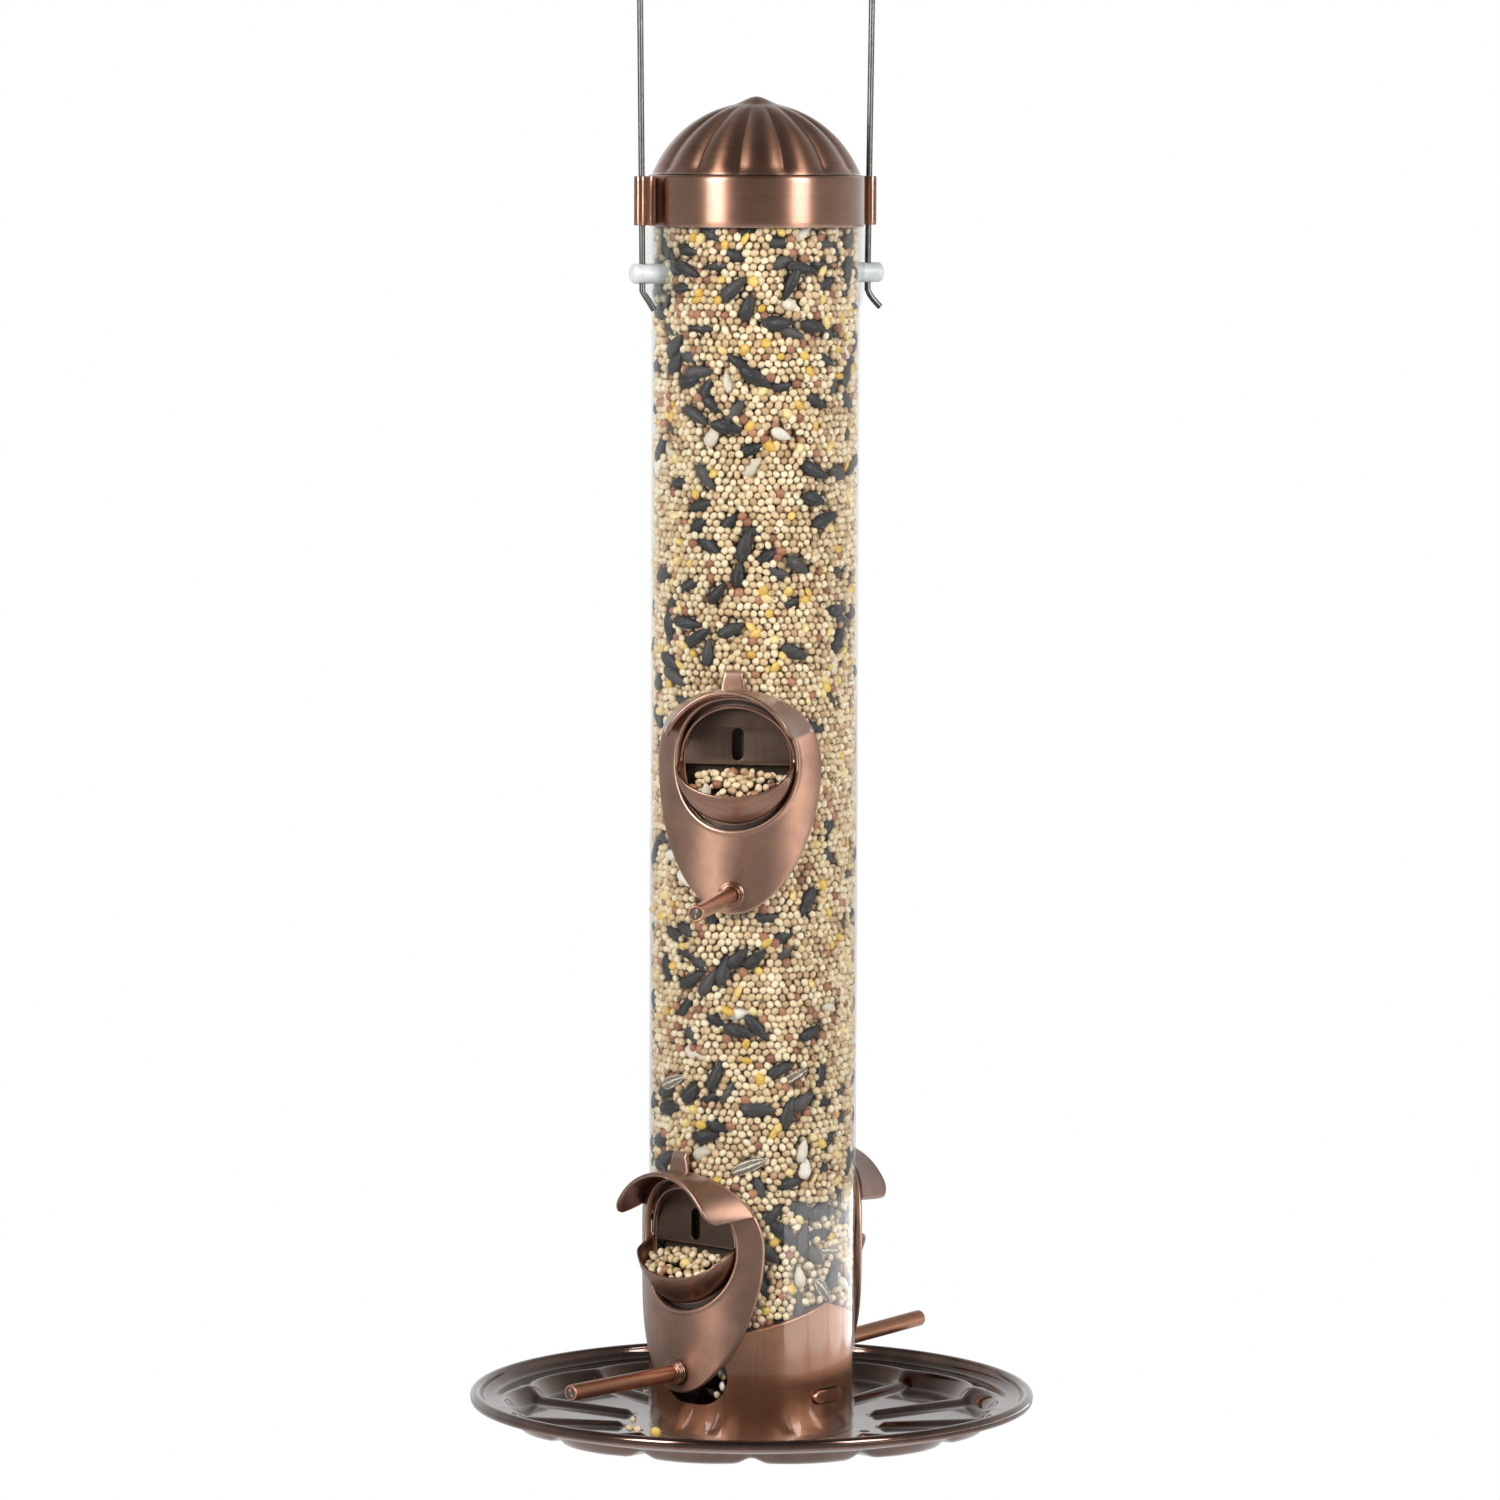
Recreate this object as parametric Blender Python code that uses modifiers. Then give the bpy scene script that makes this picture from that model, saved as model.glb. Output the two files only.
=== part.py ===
"""Hanging tube bird feeder: a clear seed tube with four feeding ports, a cap that slides up
its wire bail, and a dish tray on a plug that snaps into the tube's foot.

Metres, +Z up. The origin is the point the feeder hangs from, at the inside of the bail's top.
X runs along the hanger rod. An azimuth of 0 looks towards -Y, and azimuths grow towards +X.
Heights named *_Z are above the underside of the tray's petals.
"""
import math

import bmesh
import bpy
from mathutils import Matrix, Vector

MM = 0.001
GAP = 0.3 * MM
TURN = 2 * math.pi

# Tube
TUBE_R = 33.0 * MM
TUBE_WALL = 1.0 * MM
TUBE_FOOT_Z = -0.9 * MM
TUBE_TOP_Z = 397.1 * MM
TUBE_SIDES = 48

# Hanger: rod, bail and the clear patches that stiffen the tube at the rod
ROD_R = 3.175 * MM
ROD_HALF = 43.4 * MM
ROD_SHIFT = 0.6 * MM
ROD_Z = 367.2 * MM
WIRE_R = 1.0 * MM
WIRE_X = 38.95 * MM
WIRE_SPREAD = 0.012
ARCH_Z = 487.0 * MM
PATCH_R = 34.6 * MM
PATCH_HALF = 11.5 * MM

# Cap
BAND_R = 34.2 * MM
BAND_WALL = 0.7 * MM
BAND_FOOT_Z = 382.0 * MM
BAND_TOP_Z = 398.2 * MM
DOME_FOOT_R = 33.1 * MM
DOME_SPHERE_R = 35.56 * MM
DOME_WALL = 0.8 * MM
FLUTES = 14
FLUTE_DEPTH = 1.2 * MM
FLUTE_PHASE = -33.7
NUB_R = 7.6 * MM
NUB_HEIGHT = 1.9 * MM
GUIDE_X = 39.6 * MM
GUIDE_R = 2.4 * MM
GUIDE_BORE_R = 2.0 * MM
WEB_THICKNESS = 0.7 * MM

# Ports, with distances along the port's axis measured from the axis of the tube
PORT_LEVELS = {"mid": (214.1 * MM, -35.0), "lower": (60.7 * MM, -66.0)}
PORT_HOLE_R = 19.4 * MM
SHIELD_OUT = 35.2 * MM
SHIELD_HALF_WIDTH = 30.0 * MM
SHIELD_UP = 24.0 * MM
SHIELD_DOWN = 47.2 * MM
OPENING_R = 20.5 * MM
VISOR_OUT = 43.6 * MM
VISOR_BACK_R = 24.8 * MM
VISOR_FRONT_R = 22.5 * MM
VISOR_WALL = 1.2 * MM
VISOR_LOWEST = 8.6 * MM
VISOR_KNEE = SHIELD_OUT - 2.0 * MM
VISOR_ROOT = 18.0 * MM
TAB_HALF = 3.8 * MM
TAB_FOOT = 22.5 * MM
TAB_TOP = 29.9 * MM
HOOK_HALF = 2.8 * MM
HOOK_FOOT = 28.3 * MM
HOOK_TOP = 29.5 * MM
CUP_R = 19.0 * MM
CUP_WALL = 1.0 * MM
CUP_BACK = 25.5 * MM
CUP_SHOULDER = 33.0 * MM
CUP_BULGE = 8.4 * MM
CUP_LIP_DROP = 9.4 * MM
BAFFLE_FRONT = 27.0 * MM
PERCH_R = 2.6 * MM
PERCH_DROP = 40.6 * MM
PERCH_FROM = 28.5 * MM
PERCH_TO = 84.5 * MM
COLLAR_R = 4.15 * MM
NUT_R = 4.6 * MM

# Base plug, its two snap catches and the seed above it
PLUG_R = 31.3 * MM
PLUG_WALL = 0.8 * MM
PLUG_FOOT_Z = -0.9 * MM
RIDGE_Z = 42.1 * MM
ROOF_SLOPE = 0.3126
POST_R = 4.5 * MM
NUT_WINDOW = (12.25 * MM, 9.0 * MM)
NUT_WINDOW_Z = 19.0 * MM
NUT_WINDOW_TURN = 6.0
CATCH_Z = 12.05 * MM
CATCH_SLOT = (6.75 * MM, 2.5 * MM)
CATCH_CLEARANCE = 0.4 * MM
CATCH_ROOT_Z = 29.0 * MM
LEAF_OUT = 29.4 * MM
LEAF_THICK = 0.7 * MM
LEAF_HALF = 4.2 * MM
BUTTON_FACE = TUBE_R + 0.3 * MM - LEAF_OUT
BUTTON_CHAMFER = 24.0
SEED_R = 31.4 * MM
SEED_TOP_Z = 388.5 * MM

# Tray
TRAY_R = 90.3 * MM
TRAY_CREST_Z = 10.3 * MM
TRAY_SHEET = 0.9 * MM
LEDGE_Z = 5.9 * MM
DISH_DROP = 2.2 * MM
DISH_FROM = 40.0 * MM
DISH_TO = 74.0 * MM
PETALS = 13
PETAL_INNER_R = 41.0 * MM
PETAL_OUTER_R = 80.0 * MM
SCALLOP_R = 34.0 * MM
OUTER_WALL = 5.4 * MM
RIB_UP = 1.75 * MM
RIB_TOP_HALF = 0.45 * MM
RIB_SIDE_IN = 2.0 * MM
RIB_SIDE_OUT = 5.4 * MM
TRAY_SIDES = 6 * PETALS
DRAIN_RING_R = 37.9 * MM
DRAIN_R = 1.7 * MM
DRAINS = 5
TRAY_TURN = -24.0
SCREW_R = 1.75 * MM
SCREW_HEAD_R = 4.4 * MM

# The bail's arch is a half circle over the two legs, and the feeder hangs from its inside.
ARCH_R = WIRE_X + WIRE_SPREAD * (ARCH_Z - ROD_Z)
HANG_Z = ARCH_Z + ARCH_R - WIRE_R


# ---------------------------------------------------------------- scene helpers

def clear_scene():
    for obj in list(bpy.data.objects):
        bpy.data.objects.remove(obj, do_unlink=True)


def new_collection(name):
    made = bpy.data.collections.new(name)
    bpy.context.scene.collection.children.link(made)
    return made


def material(name, colour, metallic, roughness, alpha=1.0):
    made = bpy.data.materials.new(name)
    made.use_nodes = True
    shader = made.node_tree.nodes["Principled BSDF"]
    shader.inputs["Base Color"].default_value = (*colour, 1.0)
    shader.inputs["Metallic"].default_value = metallic
    shader.inputs["Roughness"].default_value = roughness
    shader.inputs["Alpha"].default_value = alpha
    made.diffuse_color = (*colour, alpha)
    return made


clear_scene()
PARTS = new_collection("hanging_bird_feeder")
CUTTERS = new_collection("cutters")
COPPER = material("antique_copper", (0.36, 0.20, 0.14), 1.0, 0.32)
DARK_COPPER = material("tray_copper", (0.22, 0.11, 0.08), 1.0, 0.2)
CLEAR = material("clear_plastic", (0.9, 0.93, 0.93), 0.0, 0.05, 0.25)
NYLON = material("white_nylon", (0.85, 0.86, 0.85), 0.0, 0.4)
STEEL = material("wire_steel", (0.28, 0.27, 0.25), 1.0, 0.35)
ZINC = material("zinc_steel", (0.55, 0.55, 0.53), 1.0, 0.35)
SEED = material("mixed_seed", (0.60, 0.48, 0.28), 0.0, 0.7)


def empty(name, parent=None, location=(0, 0, 0), rotation=(0, 0, 0)):
    made = bpy.data.objects.new(name, None)
    PARTS.objects.link(made)
    made.parent = parent
    made.location = location
    made.rotation_euler = rotation
    return made


FEEDER = empty("feeder_frame", location=(0, 0, -HANG_Z))


def place(obj, finish, parent=FEEDER, location=(0, 0, 0), rotation=(0, 0, 0)):
    """Puts the object in the parts collection, or among the cutters where it has no finish."""
    if finish is None:
        CUTTERS.objects.link(obj)
        obj.hide_render = True
        obj.display_type = "WIRE"
    else:
        PARTS.objects.link(obj)
        obj.data.materials.append(finish)
    obj.parent = parent
    obj.location = location
    obj.rotation_euler = rotation
    return obj


def shade(mesh):
    mesh.shade_smooth()
    mesh.set_sharp_from_angle(angle=math.radians(30))


def cylinder(name, radius, low, high, finish=None, sides=32, **placing):
    """A closed cylinder along Z between two heights."""
    bm = bmesh.new()
    centre = Matrix.Translation((0, 0, (low + high) / 2))
    bmesh.ops.create_cone(bm, cap_ends=True, segments=sides, radius1=radius,
                          radius2=radius, depth=high - low, matrix=centre)
    mesh = bpy.data.meshes.new(name)
    bm.to_mesh(mesh)
    bm.free()
    shade(mesh)
    return place(bpy.data.objects.new(name, mesh), finish, **placing)


def block(name, low, high, finish=None, **placing):
    """A box between two corners."""
    low = Vector(low)
    high = Vector(high)
    bm = bmesh.new()
    fit = Matrix.Translation((low + high) / 2) @ Matrix.Diagonal((*(high - low), 1))
    bmesh.ops.create_cube(bm, size=1, matrix=fit)
    mesh = bpy.data.meshes.new(name)
    bm.to_mesh(mesh)
    bm.free()
    return place(bpy.data.objects.new(name, mesh), finish, **placing)


def turned(name, profile, finish=None, ring=False, steps=32, **placing):
    """A profile of (radius, height) points turned about Z; a ring's profile is a closed loop."""
    count = len(profile)
    mesh = bpy.data.meshes.new(name)
    edges = [(i, (i + 1) % count) for i in range(count if ring else count - 1)]
    mesh.from_pydata([(r, 0, z) for r, z in profile], edges, [])
    obj = place(bpy.data.objects.new(name, mesh), finish, **placing)
    screw = obj.modifiers.new("turn", "SCREW")
    screw.axis = "Z"
    screw.angle = TURN
    screw.steps = steps
    screw.render_steps = steps
    screw.use_merge_vertices = True
    screw.merge_threshold = 1e-6
    return obj


def curve_mesh(name, curve):
    """The curve's evaluated surface as a mesh with its caps welded on; the curve is removed."""
    source = bpy.data.objects.new(name + "_curve", curve)
    bpy.context.scene.collection.objects.link(source)
    graph = bpy.context.evaluated_depsgraph_get()
    mesh = bpy.data.meshes.new_from_object(source.evaluated_get(graph))
    mesh.name = name
    bpy.data.objects.remove(source, do_unlink=True)
    bm = bmesh.new()
    bm.from_mesh(mesh)
    bmesh.ops.remove_doubles(bm, verts=bm.verts, dist=1e-6)
    bmesh.ops.recalc_face_normals(bm, faces=bm.faces)
    bm.to_mesh(mesh)
    bm.free()
    return mesh


def prism(name, outline, low, high, finish=None, **placing):
    """A flat outline of (x, y) points raised along Z between two heights."""
    curve = bpy.data.curves.new(name, "CURVE")
    curve.dimensions = "2D"
    curve.fill_mode = "BOTH"
    curve.extrude = (high - low) / 2
    spline = curve.splines.new("POLY")
    spline.points.add(len(outline) - 1)
    for point, (x, y) in zip(spline.points, outline):
        point.co = (x, y, 0, 1)
    spline.use_cyclic_u = True
    mesh = curve_mesh(name, curve)
    mesh.transform(Matrix.Translation((0, 0, (low + high) / 2)))
    shade(mesh)
    return place(bpy.data.objects.new(name, mesh), finish, **placing)


def boolean(obj, tool, operation="DIFFERENCE"):
    made = obj.modifiers.new(operation.lower(), "BOOLEAN")
    made.operation = operation
    made.solver = "EXACT"
    made.object = tool


def arc(centre, radius, start, end, count):
    """Points on a circle from one angle to another, in degrees."""
    angles = [math.radians(start + (end - start) * i / count) for i in range(count + 1)]
    return [(centre[0] + radius * math.cos(a), centre[1] + radius * math.sin(a)) for a in angles]


def obround(half_length, half_width, count=6):
    """A slot's outline, along x, with round ends."""
    reach = half_length - half_width
    right = arc((reach, 0), half_width, -90, 90, count)
    left = arc((-reach, 0), half_width, 90, 270, count)
    return right + left


def side_on(azimuth, height):
    """Placing for a piece whose own Z points out of the tube at an azimuth, with its Y up."""
    turn = (math.radians(90), 0, math.radians(azimuth))
    return {"location": (0, 0, height), "rotation": turn}


# ---------------------------------------------------------------- feeding ports

def shield_outline():
    """The egg-shaped plate seen from the front, its widths wrapped onto the tube."""
    right = []
    steps = 9
    for i in range(steps + 1):
        v = SHIELD_UP * math.cos(math.pi / 2 * i / steps)
        wide = SHIELD_HALF_WIDTH * math.sin(math.pi / 2 * i / steps)
        right.append((wide, v))
    for i in range(1, steps + 1):
        t = math.sin(math.pi / 2 * i / steps)
        wide = SHIELD_HALF_WIDTH * math.cos(math.pi / 2 * i / steps) * (1 - 0.16 * t * t)
        right.append((wide, -SHIELD_DOWN * t))
    wrapped = [(SHIELD_OUT * math.sin(wide / SHIELD_OUT), v) for wide, v in right]
    left = [(-x, v) for x, v in reversed(wrapped[1:-1])]
    return wrapped + left


def upright_cylinder(name, radius, port, reach=60 * MM, sides=TUBE_SIDES):
    """A cutter on the tube's own axis, for pieces that are modelled in a port's frame."""
    stand = (math.radians(90), 0, 0)
    return cylinder(name, radius, -reach, reach, sides=sides, parent=port, rotation=stand)


def make_visor(label, port):
    """The hood: part of a short cone about the port's axis, level along its lower edges."""
    inner_r = VISOR_BACK_R - VISOR_WALL
    profile = [(VISOR_FRONT_R, VISOR_OUT), (VISOR_BACK_R, VISOR_KNEE),
               (VISOR_BACK_R, VISOR_ROOT), (inner_r, VISOR_ROOT), (inner_r, VISOR_KNEE),
               (VISOR_FRONT_R - VISOR_WALL, VISOR_OUT)]
    visor = turned(label + "_visor", profile, ring=True, steps=40, parent=port)
    above = block(label + "_visor_side", (-40 * MM, VISOR_LOWEST, 10 * MM),
                  (40 * MM, 40 * MM, 50 * MM), parent=port)
    boolean(visor, above, "INTERSECT")
    boolean(visor, upright_cylinder(label + "_visor_back", TUBE_R + 1.3 * MM, port))
    return visor


def make_shield(label, port):
    """Cast plate that hugs the tube around the port, with its visor, top tab and hook."""
    shield = prism(label + "_shield", shield_outline(), 15 * MM, 38 * MM, COPPER, parent=port)
    boolean(shield, upright_cylinder(label + "_shield_face", SHIELD_OUT, port), "INTERSECT")
    boolean(shield, upright_cylinder(label + "_shield_back", TUBE_R + GAP, port))
    opening = cylinder(label + "_shield_opening", OPENING_R, 10 * MM, 45 * MM,
                       sides=36, parent=port)
    boolean(shield, opening)
    boolean(shield, make_visor(label, port), "UNION")
    tab = block(label + "_tab", (-TAB_HALF, TAB_FOOT, TUBE_R + GAP),
                (TAB_HALF, TAB_TOP, TUBE_R + 1.6 * MM), parent=port)
    hook = block(label + "_hook", (-HOOK_HALF, HOOK_FOOT, TUBE_R - 1.2 * MM),
                 (HOOK_HALF, HOOK_TOP, TUBE_R + 1.2 * MM), parent=port)
    boolean(shield, tab, "UNION")
    boolean(shield, hook, "UNION")
    perch_hole = cylinder(label + "_shield_perch_hole", PERCH_R + GAP, 20 * MM, 45 * MM,
                          sides=16, parent=port, location=(0, -PERCH_DROP, 0))
    boolean(shield, perch_hole)
    return shield


def make_cup(label, port):
    """Seed cup: a sleeve through the tube's wall, a scoop in front and a baffle behind."""
    inner = CUP_R - CUP_WALL
    nose = 8 * MM
    start = math.degrees(math.asin(nose / CUP_R))
    start_in = math.degrees(math.asin(nose / inner))
    rounds = 5
    outside = []
    inside = []
    for i in range(rounds + 1):
        a = math.radians(start + (90 - start) * i / rounds)
        b = math.radians(start_in + (90 - start_in) * i / rounds)
        bulge_in = CUP_BULGE - CUP_WALL
        outside.append((CUP_R * math.sin(a), CUP_SHOULDER + CUP_BULGE * math.cos(a)))
        inside.append((inner * math.sin(b), CUP_SHOULDER + bulge_in * math.cos(b)))
    profile = outside + [(CUP_R, CUP_BACK), (inner, CUP_BACK)] + inside[::-1]
    cup = turned(label + "_cup", profile, COPPER, ring=True, steps=28, parent=port)

    edge = CUP_SHOULDER + 0.4 * MM
    far = CUP_SHOULDER + 10 * MM
    slope = CUP_LIP_DROP / (7 * MM)
    mouth = [(edge, 25 * MM), (edge, -1 * MM), (far, -1 * MM - slope * (far - edge)),
             (far, 25 * MM)]
    above_lip = prism(label + "_cup_mouth", mouth, -25 * MM, 25 * MM, parent=port,
                      rotation=(0, math.radians(-90), 0))
    boolean(cup, above_lip)

    baffle = cylinder(label + "_baffle", CUP_R - CUP_WALL / 2, BAFFLE_FRONT - CUP_WALL,
                      BAFFLE_FRONT, sides=28, parent=port)
    upper = block(label + "_baffle_half", (-25 * MM, -0.5 * MM, 20 * MM),
                  (25 * MM, 25 * MM, 30 * MM), parent=port)
    boolean(baffle, upper, "INTERSECT")
    slot = prism(label + "_baffle_slot", obround(5 * MM, 1.8 * MM), 20 * MM, 30 * MM,
                 parent=port, location=(0, 5.9 * MM, 0), rotation=(0, 0, math.radians(90)))
    boolean(baffle, slot)
    boolean(cup, baffle, "UNION")
    return cup


def make_perch(label, port):
    """Perch rod with its ribbed collar outside the plate and its hexagon nut in the tube."""
    at = {"parent": port, "location": (0, -PERCH_DROP, 0)}
    chamfer = 0.4 * MM
    rod = [(0, PERCH_TO), (PERCH_R - chamfer, PERCH_TO), (PERCH_R, PERCH_TO - chamfer),
           (PERCH_R, PERCH_FROM), (0, PERCH_FROM)]
    turned(label + "_perch", rod, COPPER, steps=16, **at)

    ribs = 3
    pitch = 0.95 * MM
    root = SHIELD_OUT + GAP
    profile = [(PERCH_R + GAP, root + ribs * pitch)]
    for i in reversed(range(ribs)):
        low = root + i * pitch
        profile += [(COLLAR_R - 0.35 * MM, low + pitch), (COLLAR_R, low + 0.6 * pitch),
                    (COLLAR_R, low + 0.4 * pitch)]
    profile += [(COLLAR_R - 0.35 * MM, root), (PERCH_R + GAP, root)]
    turned(label + "_perch_collar", profile, COPPER, ring=True, steps=12, **at)

    nut = cylinder(label + "_perch_nut", NUT_R, PERCH_FROM + GAP, PERCH_FROM + 2.7 * MM,
                   ZINC, sides=6, **at)
    bore = cylinder(label + "_nut_bore", PERCH_R + GAP, 20 * MM, 40 * MM, sides=16, **at)
    boolean(nut, bore)


def port_places():
    """(name, height, azimuth) of each port: two levels, each with a pair back to back."""
    for level, (height, azimuth) in PORT_LEVELS.items():
        yield level + "_front", height, azimuth
        yield level + "_rear", height, azimuth + 180


def make_ports():
    for label, height, azimuth in port_places():
        port = empty(label + "_port", FEEDER, **side_on(azimuth, height))
        make_shield(label, port)
        make_cup(label, port)
        make_perch(label, port)


# ---------------------------------------------------------------- tube and seed

def make_tube():
    """Clear tube with its holes for ports, perches, hooks, hanger rod and catches."""
    inner = TUBE_R - TUBE_WALL
    profile = [(TUBE_R, TUBE_TOP_Z), (TUBE_R, TUBE_FOOT_Z), (inner, TUBE_FOOT_Z),
               (inner, TUBE_TOP_Z)]
    tube = turned("tube", profile, CLEAR, ring=True, steps=TUBE_SIDES)
    near = 22 * MM
    far = 44 * MM
    for label, height, azimuth in port_places():
        hole = cylinder(label + "_tube_hole", PORT_HOLE_R, near, far, sides=32,
                        **side_on(azimuth, height))
        perch = cylinder(label + "_tube_perch_hole", PERCH_R + GAP, near, far, sides=16,
                         **side_on(azimuth, height - PERCH_DROP))
        room = (HOOK_HALF + GAP, HOOK_FOOT - GAP, HOOK_TOP + GAP)
        hook = block(label + "_tube_hook_slot", (-room[0], room[1], near),
                     (room[0], room[2], far), **side_on(azimuth, height))
        boolean(tube, hole)
        boolean(tube, perch)
        boolean(tube, hook)
    for azimuth in catch_azimuths():
        slot = prism(f"tube_catch_slot_{azimuth:.0f}", obround(*CATCH_SLOT), near, far,
                     **side_on(azimuth, CATCH_Z))
        boolean(tube, slot)
    rod_hole = cylinder("tube_rod_hole", ROD_R + GAP, -far, far, sides=20,
                        **side_on(90, ROD_Z))
    boolean(tube, rod_hole)
    return tube


def roof_outline(drop, floor):
    """The plug's gabled roof seen from its end, lowered by drop, down to a floor height."""
    half = 45 * MM
    eave = RIDGE_Z - ROOF_SLOPE * half
    return [(-half, floor), (half, floor), (half, eave - drop), (0, RIDGE_Z - drop),
            (-half, eave - drop)]


def roof_prism(name, drop, floor):
    """The space under the roof. Its ridge crosses the line between the two lower ports."""
    lower_azimuth = PORT_LEVELS["lower"][1]
    across = (math.radians(90), 0, math.radians(lower_azimuth + 90))
    return prism(name, roof_outline(drop, floor), -50 * MM, 50 * MM, rotation=across)


def make_seed():
    """The seed that fills the tube, left open around the ports, the nuts and the rod."""
    seed = cylinder("seed_fill", SEED_R, 20 * MM, SEED_TOP_Z, SEED, sides=32)
    boolean(seed, roof_prism("seed_under_cut", -GAP, -10 * MM))
    for label, height, azimuth in port_places():
        cup = cylinder(label + "_seed_cup_room", PORT_HOLE_R, CUP_BACK - 1 * MM, 40 * MM,
                       sides=24, **side_on(azimuth, height))
        nut = cylinder(label + "_seed_nut_room", NUT_R + 0.6 * MM, PERCH_FROM - 0.5 * MM,
                       40 * MM, sides=12, **side_on(azimuth, height - PERCH_DROP))
        boolean(seed, cup)
        boolean(seed, nut)
    rod_room = cylinder("seed_rod_room", ROD_R + GAP, -40 * MM, 40 * MM, sides=20,
                        **side_on(90, ROD_Z))
    boolean(seed, rod_room)
    return seed


# ---------------------------------------------------------------- base plug

def catch_azimuths():
    """The two catches stand at a right angle to the lower ports."""
    first = PORT_LEVELS["lower"][1] + 90
    return (first, first - 180)


def make_plug():
    """Thin-walled plug in the tube's foot, whose gabled roof sheds seed to the lower ports."""
    high = RIDGE_Z + 5 * MM
    plug = cylinder("base_plug", PLUG_R, PLUG_FOOT_Z, high, COPPER, sides=TUBE_SIDES)
    boolean(plug, roof_prism("plug_roof", 0, -10 * MM), "INTERSECT")
    hollow = cylinder("plug_hollow", PLUG_R - PLUG_WALL, -5 * MM, high, sides=TUBE_SIDES)
    boolean(hollow, roof_prism("plug_roof_inside", PLUG_WALL, -12 * MM), "INTERSECT")
    boolean(plug, hollow)
    near = 24 * MM
    far = 40 * MM
    for side in (0, 180):
        azimuth = PORT_LEVELS["lower"][1] + NUT_WINDOW_TURN + side
        window = prism(f"plug_window_{side}", obround(*NUT_WINDOW, count=9), near, far,
                       **side_on(azimuth, NUT_WINDOW_Z))
        boolean(plug, window)
    for azimuth in catch_azimuths():
        slot = prism(f"plug_catch_slot_{azimuth:.0f}", obround(*CATCH_SLOT), near, far,
                     **side_on(azimuth, CATCH_Z))
        boolean(plug, slot)
    post = cylinder("plug_post", POST_R, 5.4 * MM, RIDGE_Z - 1.2 * MM, sides=24)
    boolean(plug, post, "UNION")
    bore = cylinder("plug_post_bore", SCREW_R + GAP, 0, 22 * MM, sides=16)
    boolean(plug, bore)
    return plug


def make_catches():
    """Snap catches: a button in the tube's slot on a leaf that bends from its upper end."""
    button_half = (CATCH_SLOT[0] - CATCH_CLEARANCE, CATCH_SLOT[1] - CATCH_CLEARANCE)
    rise = CATCH_ROOT_Z - CATCH_Z
    for name, azimuth in zip(("base_catch_right", "base_catch_left"), catch_azimuths()):
        angle = math.radians(azimuth)
        root = (LEAF_OUT * math.sin(angle), -LEAF_OUT * math.cos(angle), CATCH_ROOT_Z)
        pivot = empty(name + "_pivot", FEEDER, root, (math.radians(90), 0, angle))
        leaf = block(name, (-LEAF_HALF, -rise - 3 * MM, -LEAF_THICK), (LEAF_HALF, 1 * MM, 0),
                     COPPER, parent=pivot)
        button = prism(name + "_button", obround(*button_half), -LEAF_THICK / 2, BUTTON_FACE,
                       parent=pivot, location=(0, -rise, 0))
        wedge = block(name + "_wedge", (-10 * MM, -3 * MM, 0), (10 * MM, 3 * MM, 6 * MM),
                      parent=pivot, location=(0, 2.4 * MM - rise, BUTTON_FACE - 0.2 * MM),
                      rotation=(math.radians(BUTTON_CHAMFER), 0, 0))
        boolean(button, wedge)
        boolean(leaf, button, "UNION")


# ---------------------------------------------------------------- tray

def smooth_step(t):
    t = min(max(t, 0.0), 1.0)
    return t * t * (3 - 2 * t)


def dish_floor(radius):
    """Top of the petals' floors, which fall in a shallow cone to the flat seat of the tube."""
    share = (DISH_TO - radius) / (DISH_TO - DISH_FROM)
    return TRAY_SHEET - DISH_DROP * min(max(share, 0.0), 1.0)


def wall_rise(radius, angle):
    """How far the scalloped outer wall stands over the petals' floors at a point of the tray."""
    pitch = TURN / PETALS
    off = (angle + pitch / 2) % pitch - pitch / 2
    middle = abs(off) - pitch / 2
    across = radius * math.sin(middle)
    along = radius * math.cos(middle) - (PETAL_OUTER_R - SCALLOP_R)
    inside = SCALLOP_R - math.hypot(across, along)
    return (LEDGE_Z - TRAY_SHEET) * (1 - smooth_step(inside / OUTER_WALL))


def rib_rise(radius, angle):
    """Height of the low rib between two petals, which widens outwards from a rounded end."""
    pitch = TURN / PETALS
    off = (angle + pitch / 2) % pitch - pitch / 2
    aside = radius * math.sin(abs(off)) - RIB_TOP_HALF
    widen = smooth_step((radius - PETAL_INNER_R) / (36 * MM))
    side = RIB_SIDE_IN + (RIB_SIDE_OUT - RIB_SIDE_IN) * widen
    end = smooth_step((radius - PETAL_INNER_R + 1.2 * MM) / (3.4 * MM))
    return RIB_UP * end * (1 - smooth_step(aside / side))


def tray_height(radius, angle):
    """Top of the pressed sheet between the tube's seat and the ledge under the rim."""
    wall = wall_rise(radius, angle) / MM
    rib = rib_rise(radius, angle) / MM
    return dish_floor(radius) + (wall ** 3 + rib ** 3) ** (1 / 3) * MM


def tray_profile():
    """(radius, height) of the sheet's top from the centre boss out over the rolled rim."""
    boss = [(2.3 * MM, 5.0 * MM), (8.0 * MM, 5.0 * MM)]
    floor = [(r * MM, dish_floor(r * MM)) for r in (10.4, 39.6, 43.5, 60, 71, 75, 78, 80.6)]
    roll = 1.7 * MM
    roll_centre = (TRAY_R - roll, TRAY_CREST_Z - roll)
    wall = [(83.2 * MM, LEDGE_Z)]
    curl = arc(roll_centre, roll, 150, -20, 3)
    hem = [(TRAY_R - 0.3 * MM, TRAY_CREST_Z - 3.6 * MM)]
    return boss + floor + wall + curl + hem


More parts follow.
